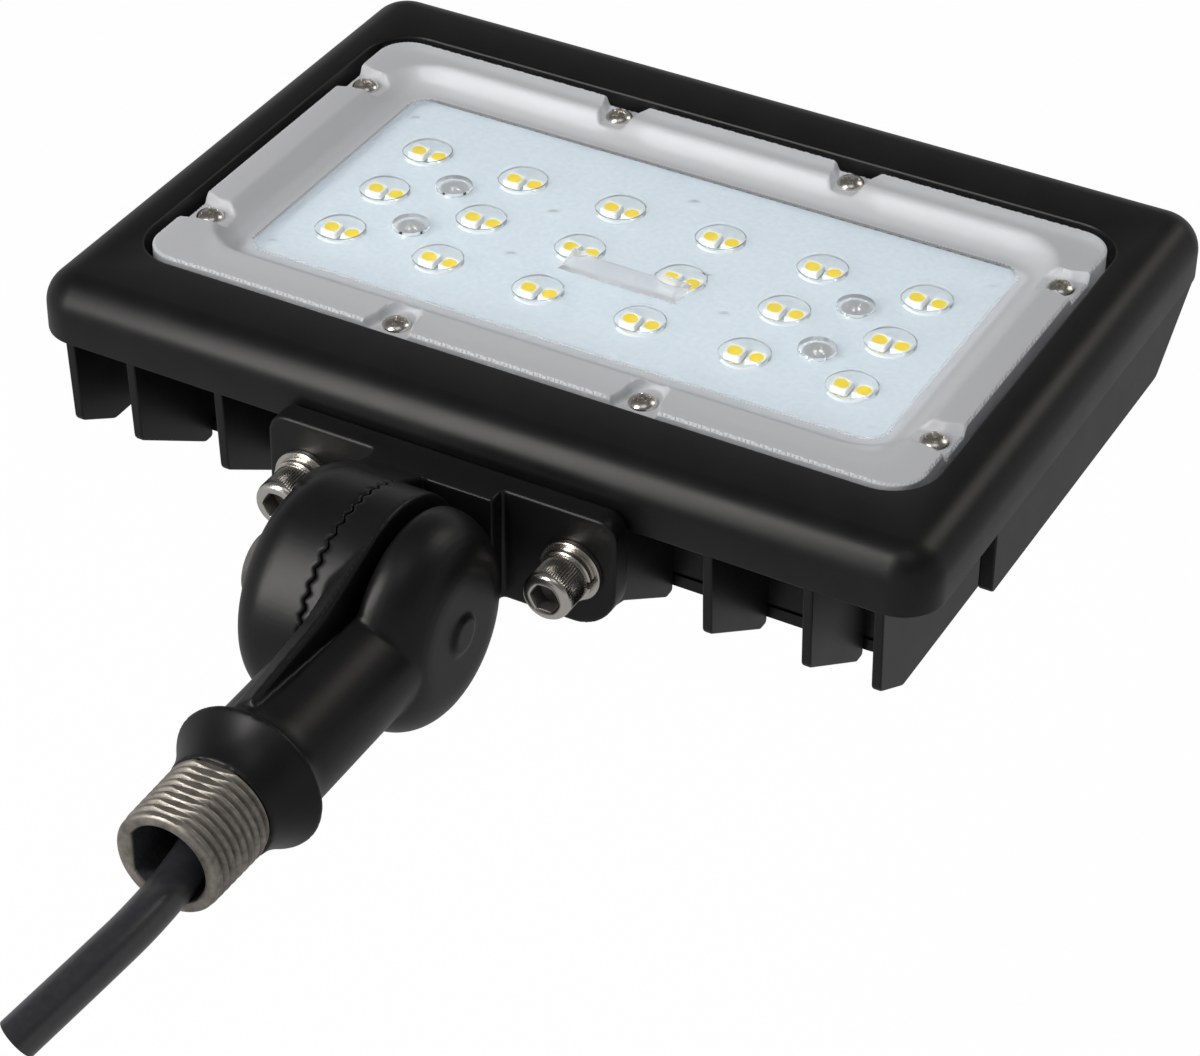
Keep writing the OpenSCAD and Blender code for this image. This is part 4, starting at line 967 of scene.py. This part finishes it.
def makeLeds(p):
    points, faces, kinds = packageShape(p)
    dx, dy = p["shift"]
    parts, slots = [], []
    for cx, cy in lightPoints(lens):
        for side in (-1, 1):
            parts.append((points + [headX + cx + dx + side * p["pair"] / 2, headY + cy + dy, p["bottom"]], faces))
            slots += kinds
    obj = meshObject("lightPackages", *joinParts(parts), [ledBody, phosphor, solder], slots, 30)
    faceOutwards(obj)
    place(obj, "head", "phosphor", "led_packages")


makeLeds(ledPackage)
print("light points made")


# Cap screws of the bracket: knurled head, chamfer and hex socket, on a split washer and a flat one
capScrew = {
    "headR": 4.85,
    "headH": 7.4,
    "headFoot": ((0.25, 0), (0.05, 0.2), (0, 0.5)),  # (in from the head's side, up from its foot)
    "headEdge": ((0.04, 1.0), (0.14, 0.65), (0.4, 0.28), (0.85, 0.05), (1.3, 0)),  # (in, down from the top)
    "shankR": 3,
    "tipR": 2.3,
    "tipH": 0.8,
    "reach": 20.0,
    "socketAf": 5,
    "socketDeep": 3.4,
    "socketMouth": ((1.25, 0), (1.12, 0.1), (1, 0.5)),  # (share of the socket's half width, down)
    "socketPoint": (0.4, 0.6),
    # the socket's last rows, painted dark to stand for the shade in it
    "socketShadeRows": 4,
    "hub": (0.05, 0.02),
    "knurls": 56,
    "perKnurl": 6,
    "knurlRows": (0.9, 1.3, 8),
    "knurlDeep": 0.2,
    "spring": (5.35, 3.15, 1.9),  # outer radius, inner radius and height of the split washer
    "flat": (6.2, 3.25, 1.4),
    "washerSides": 72,
    "solidR": 5,
    "shift": -0.3,
}


def capScrewShape(c):
    # rings from the shank's tip, up the knurled side and down into the hex socket
    r, h, reach, hexR = c["headR"], c["headH"], c["reach"], c["socketAf"] / 2
    first, last, count = c["knurlRows"]
    floor, (side, tip), (hubLow, hubHigh) = h - c["socketDeep"], c["socketPoint"], c["hub"]
    rows = [(hubLow, -reach), (c["tipR"], -reach), (c["shankR"], -reach + c["tipH"]), (c["shankR"], 0)]
    rows += [(r - pull, up) for pull, up in c["headFoot"]]
    start = len(rows)
    rows += [(r, z) for z in np.linspace(first, h - last, count)]
    rows += [(r - pull, h - down) for pull, down in c["headEdge"]]
    rows += [(hexR * share, h - down) for share, down in c["socketMouth"]]
    rows += [(hexR, floor), (hexR * 0.5, floor - side), (hubHigh, floor - tip)]
    knurled, hexed = np.zeros(len(rows)), np.zeros(len(rows))
    knurled[start:start + count - 1] = 1
    hexed[-5:-2] = 0.5, 1, 1
    steps = c["knurls"] * c["perKnurl"]

    def radiusOf(row, radius, angle):
        knurl = c["knurlDeep"] * (0.5 - 0.5 * np.cos(c["knurls"] * angle))
        six = 1 / np.cos((angle % (pi / 3)) - pi / 6)
        return radius * (1 + hexed[row] * (six - 1)) - knurled[row] * knurl

    faces = gridFaces(len(rows), steps) + endCaps(len(rows), steps)
    socketShade = np.zeros(len(faces), int)
    socketShade[-c["socketShadeRows"] * steps - 2:] = 1  # painted shade: the socket's walls and floor take the dark steel
    socketShade[-2] = 0  # the cap at the shank's tip takes no painted shade
    return turned(rows, steps, radiusOf).reshape(-1, 3), faces, socketShade


def ringSection(outR, inR, height, edge=0.18):
    # a washer's section, with its corners eased
    return [(inR, edge), (inR + edge, 0), (outR - edge, 0), (outR, edge), (outR, height - edge),
            (outR - edge, height), (inR + edge, height), (inR, height - edge)]


def plainWasher(outR, inR, height, steps):
    # the section turned right round
    section = ringSection(outR, inR, height)
    faces = gridFaces(len(section), steps, loop=True)
    return turned(section, steps).reshape(-1, 3), faces, np.zeros(len(faces), int)


def splitWasher(outR, inR, height, steps=60, gap=9):
    # the section carried round but for a gap of gap degrees on either side of the start, its two cut ends capped
    section = np.array(ringSection(outR, inR, height, 0.25))
    turn = np.radians(np.linspace(gap, 360 - gap, steps))
    grid = np.stack([np.outer(np.cos(turn), section[:, 0]), np.outer(np.sin(turn), section[:, 0]),
                     np.repeat(section[None, :, 1], steps, 0)], -1)
    faces = gridFaces(steps, len(section)) + endCaps(steps, len(section))
    return grid.reshape(-1, 3), faces, np.zeros(len(faces), int)


def makeBolts(c):
    # the heads stand towards -Y; each stack is set from the solids' own boxes
    low, high = nodeBox("bracket_bolts")
    plate = nodeBox("flat_washers")[1][1]
    places = [low[0] + c["solidR"] + c["shift"], high[0] - c["solidR"] + c["shift"]]
    splitH, flatH = c["spring"][2], c["flat"][2]
    for name, node, shape, start in (
            ("capScrews", "bracket_bolts", capScrewShape(c), plate - flatH - splitH),
            ("splitWashers", "spring_washers", splitWasher(*c["spring"]), plate - flatH),
            ("plainWashers", "flat_washers", plainWasher(*c["flat"], c["washerSides"]), plate)):
        points, faces, socketShade = shape
        both = joinParts([(standTo(points, (0, -1, 0), (x, start, 0)), faces) for x in places])
        # slot 1, the dark steel, is painted shade in the screws' sockets
        obj = meshObject(name, *both, [steel, blackOxideAndSocketShade], np.tile(socketShade, 2), 40)
        faceOutwards(obj)
        place(obj, "head", "stainless", node)


makeBolts(capScrew)
print("bolts made")


# Pan-head screws of the lens: a domed head whose cross recess is cut by depth over the plan
panScrew = {
    "headR": 2.8,
    "headH": 1.86,
    "domeFlat": 0.93,
    "domePower": 2.4,
    "rings": 22,
    "sides": 96,
    "rimH": 0.12,
    "footIn": 0.1,
    "bladeW": 0.8,
    "bladeL": 3.5,
    "bladeEase": (0.2, 0.35),
    "deep": 1.25,
    "pit": (0.25, 1.2),  # this share of the depth comes within this distance of the middle
    "shankR": 1.5,
    "reach": 7,
    "hub": 0.03,
    "turns": (17, 31),  # degrees: each was left at its own turn
}


def panScrewShape(s):
    # polar grid; height = dome - recess, where the recess deepens to the middle of two crossed slots
    n, hub, (sideEase, endEase), (pit, pitR) = s["sides"], s["hub"], s["bladeEase"], s["pit"]
    radii = np.concatenate([np.linspace(hub, 1, s["rings"]), [1.0]]) * s["headR"]
    turn = np.arange(n) * 2 * pi / n
    r = radii[::-1][:, None]
    x, y = r * np.cos(turn), r * np.sin(turn)
    share = r / s["headR"] + 0 * turn
    dome = s["headH"] * np.sqrt(np.maximum(1 - (share * s["domeFlat"])**s["domePower"], 0))
    across, along = np.minimum(np.abs(x), np.abs(y)), np.maximum(np.abs(x), np.abs(y))
    inCross = easeStep((s["bladeW"] / 2 + sideEase / 2 - across) / sideEase)
    inCross = inCross * easeStep((s["bladeL"] / 2 - along) / endEase)
    z = dome - s["deep"] * inCross * (1 - pit + pit * easeStep(1 - along / pitR))
    z[0] = s["rimH"]
    top = np.stack([x, y, np.maximum(z, s["rimH"])], -1)
    below = [np.stack([q * np.cos(turn), q * np.sin(turn), height + 0 * turn], -1)[None] for q, height in
             ((s["headR"] - s["footIn"], 0), (s["shankR"], 0), (s["shankR"], -s["reach"]), (hub, -s["reach"]))]
    rows = np.concatenate([top[::-1]] + below)
    return rows.reshape(-1, 3), gridFaces(len(rows), n) + endCaps(len(rows), n)


def makePanScrews(s):
    shape, faces = panScrewShape(s)
    first, step = s["turns"]
    parts = []
    for k, screw in enumerate(lensScrews(lens)):
        (x, y), a = screw[:2], radians(first + step * k)
        spun = shape @ np.array([[cos(a), sin(a), 0], [-sin(a), cos(a), 0], [0, 0, 1]])
        parts.append((spun + [headX + x, headY + y, lens["screwSeat"]], faces))
    obj = meshObject("lensScrewHeads", *joinParts(parts), steel, sharpAngle=38)
    faceOutwards(obj)
    place(obj, "head", "stainless", "lens_screws")


makePanScrews(panScrew)
print("lens screws made")


# The other solids keep their shape and get their finish
finishes = {
    "driver_cover": coat,
    "cover_gasket": rubber,
    "cover_screws": steel,
    "driver": driverCase,
    "driver_screws": steel,
    "thermal_pad": thermalSilicone,
    "led_board": solderMask,
    "board_screws": steel,
    "lens_gasket": greyRubber,
    "floor_grommet": rubber,
    "led_leads": redWire,
    "pad_grommet": rubber,
    "supply_leads": redWire,
    "bracket_gasket": rubber,
    "knuckle_seal": rubber,
    "hinge_bolt": blackOxideAndSocketShade,
    "hinge_washer": blackOxideAndSocketShade,
    "cable_bush": rubber,
    "cable_lead_in": jacket,
}
for name, finish in finishes.items():
    mesh = nodes[name].data
    mesh.materials.clear()
    mesh.materials.append(finish)
print("finishes set")


# Light: a tall strip for the long highlights, a panel behind and one overhead, over a pale floor
lights = {  # place, size in metres, power and colour
    "tallStripPanel": ((-0.41, -0.61, 0.58), (0.22, 1.05), 9.5, "#fffdfa"),
    "backRightPanel": ((0.45, 0.85, 0.62), (0.4, 0.4), 1.2, "#fffaf2"),
    "overheadPanel": ((0.25, -0.1, 1.1), (0.5, 0.5), 0.7, "#fbfdff"),
}
backdrop = {
    "softness": 0.2,  # the world's strength for matt surfaces
    "around": 0.45,  # its strength for gloss at the horizon
    "overhead": 0.12,  # and overhead
    "shade": (0.1, 0.55),  # heights between which the one passes into the other
    "floorHeight": -0.35,
    "floorHalf": 3.0,
    "floorRoll": 0.02,
    "floorSteps": 24,
    "floorGlow": 0.985,  # share of the floor that glows; the rest takes the object's shadow
    "floorGloss": 0.42,
}


def makeLight(name, where, size, power, hexCode, target=(0, 0.1, 0)):
    data = bpy.data.lights.new(name, "AREA")
    data.shape, data.size, data.size_y = "RECTANGLE", size[0], size[1]
    data.energy, data.color = power, linear(hexCode)[:3]
    obj = bpy.data.objects.new(name, data)
    bpy.context.scene.collection.objects.link(obj)
    aim = (Vector(target) - Vector(where)).to_track_quat("-Z", "Y")
    obj.matrix_world = Matrix.Translation(where) @ aim.to_matrix().to_4x4()


def backdropRays(tree):
    # 1 for the rays that see the backdrop: the camera's, and those off metal and through glass, unless a matt
    # surface has scattered them
    ray = add(tree, "LightPath")
    seen = add(tree, "Math", {0: ray.outputs["Is Camera Ray"], 1: ray.outputs["Is Glossy Ray"]},
               operation="MAXIMUM")
    seen = add(tree, "Math", {0: seen.outputs[0], 1: ray.outputs["Is Transmission Ray"]}, operation="MAXIMUM")
    first = add(tree, "Math", {0: ray.outputs["Diffuse Depth"]}, {1: 0.5}, operation="LESS_THAN")
    return add(tree, "Math", {0: seen.outputs[0], 1: first.outputs[0]}, operation="MULTIPLY"), ray


def makeWorld(b):
    # plain white round the object, darker overhead for metal and gloss, and a soft grey light to matt surfaces
    world = bpy.data.worlds.new("studio")
    bpy.context.scene.world = world
    world.use_nodes = True
    tree = world.node_tree
    tree.nodes.clear()
    seen, ray = backdropRays(tree)
    height = add(tree, "SeparateXYZ", {0: add(tree, "TexCoord").outputs["Generated"]})
    low, high = b["shade"]
    shade = add(tree, "MapRange", {"Value": height.outputs["Z"]},
                {"From Min": low, "From Max": high, "To Min": b["around"], "To Max": b["overhead"]},
                interpolation_type="SMOOTHSTEP")
    level = add(tree, "Math", {0: shade.outputs["Result"], 1: ray.outputs["Is Camera Ray"]},
                operation="MAXIMUM")
    dim = add(tree, "Background", values={"Color": linear("#ffffff"), "Strength": b["softness"]})
    white = add(tree, "Background", {"Strength": level.outputs[0]}, {"Color": linear("#ffffff")})
    mix = add(tree, "MixShader", {0: seen.outputs[0], 1: dim.outputs[0], 2: white.outputs[0]})
    add(tree, "OutputWorld", {"Surface": mix.outputs["Shader"]})


def makeFloor(b):
    # a large sheet with a gentle roll at its rim; white to the camera, metal and glass, with the object's shadow
    n, size = b["floorSteps"], b["floorHalf"]
    across = np.linspace(-size, size, n)
    gx, gy = np.meshgrid(across, across)
    gz = b["floorHeight"] + b["floorRoll"] * (np.hypot(gx, gy) / size) ** 2
    mesh = bpy.data.meshes.new("floor")
    mesh.from_pydata(np.stack([gx, gy, gz], -1).reshape(-1, 3).tolist(), [], gridFaces(n, n, wrap=False))
    mat, tree = newMaterial("paleFloor")
    where = add(tree, "TexCoord").outputs["Object"]
    noise = add(tree, "TexNoise", {"Vector": where}, {"Scale": perMetre(60), "Detail": 2})
    tone = add(tree, "ValToRGB", {"Fac": noise.outputs["Fac"]}, ramp=((0, "#f2f2f2"), (1, "#f7f7f7")))
    matt = add(tree, "BsdfDiffuse", {"Color": tone.outputs["Color"]})
    seen, ray = backdropRays(tree)
    level = add(tree, "MapRange", {"Value": ray.outputs["Is Camera Ray"]}, {"To Min": b["floorGloss"]})
    glow = add(tree, "Emission", {"Strength": level.outputs["Result"]}, {"Color": linear("#ffffff")})
    part = add(tree, "Math", {0: seen.outputs[0]}, {1: b["floorGlow"]}, operation="MULTIPLY")
    mix = add(tree, "MixShader", {0: part.outputs[0], 1: matt.outputs[0], 2: glow.outputs[0]})
    add(tree, "OutputMaterial", {"Surface": mix.outputs["Shader"]})
    mesh.materials.append(mat)
    obj = bpy.data.objects.new("floor", mesh)
    bpy.context.scene.collection.objects.link(obj)


for name, settings in lights.items():
    makeLight(name, *settings)
makeWorld(backdrop)
makeFloor(backdrop)
bpy.context.scene.view_settings.view_transform = "Standard"
print("lights and floor made")
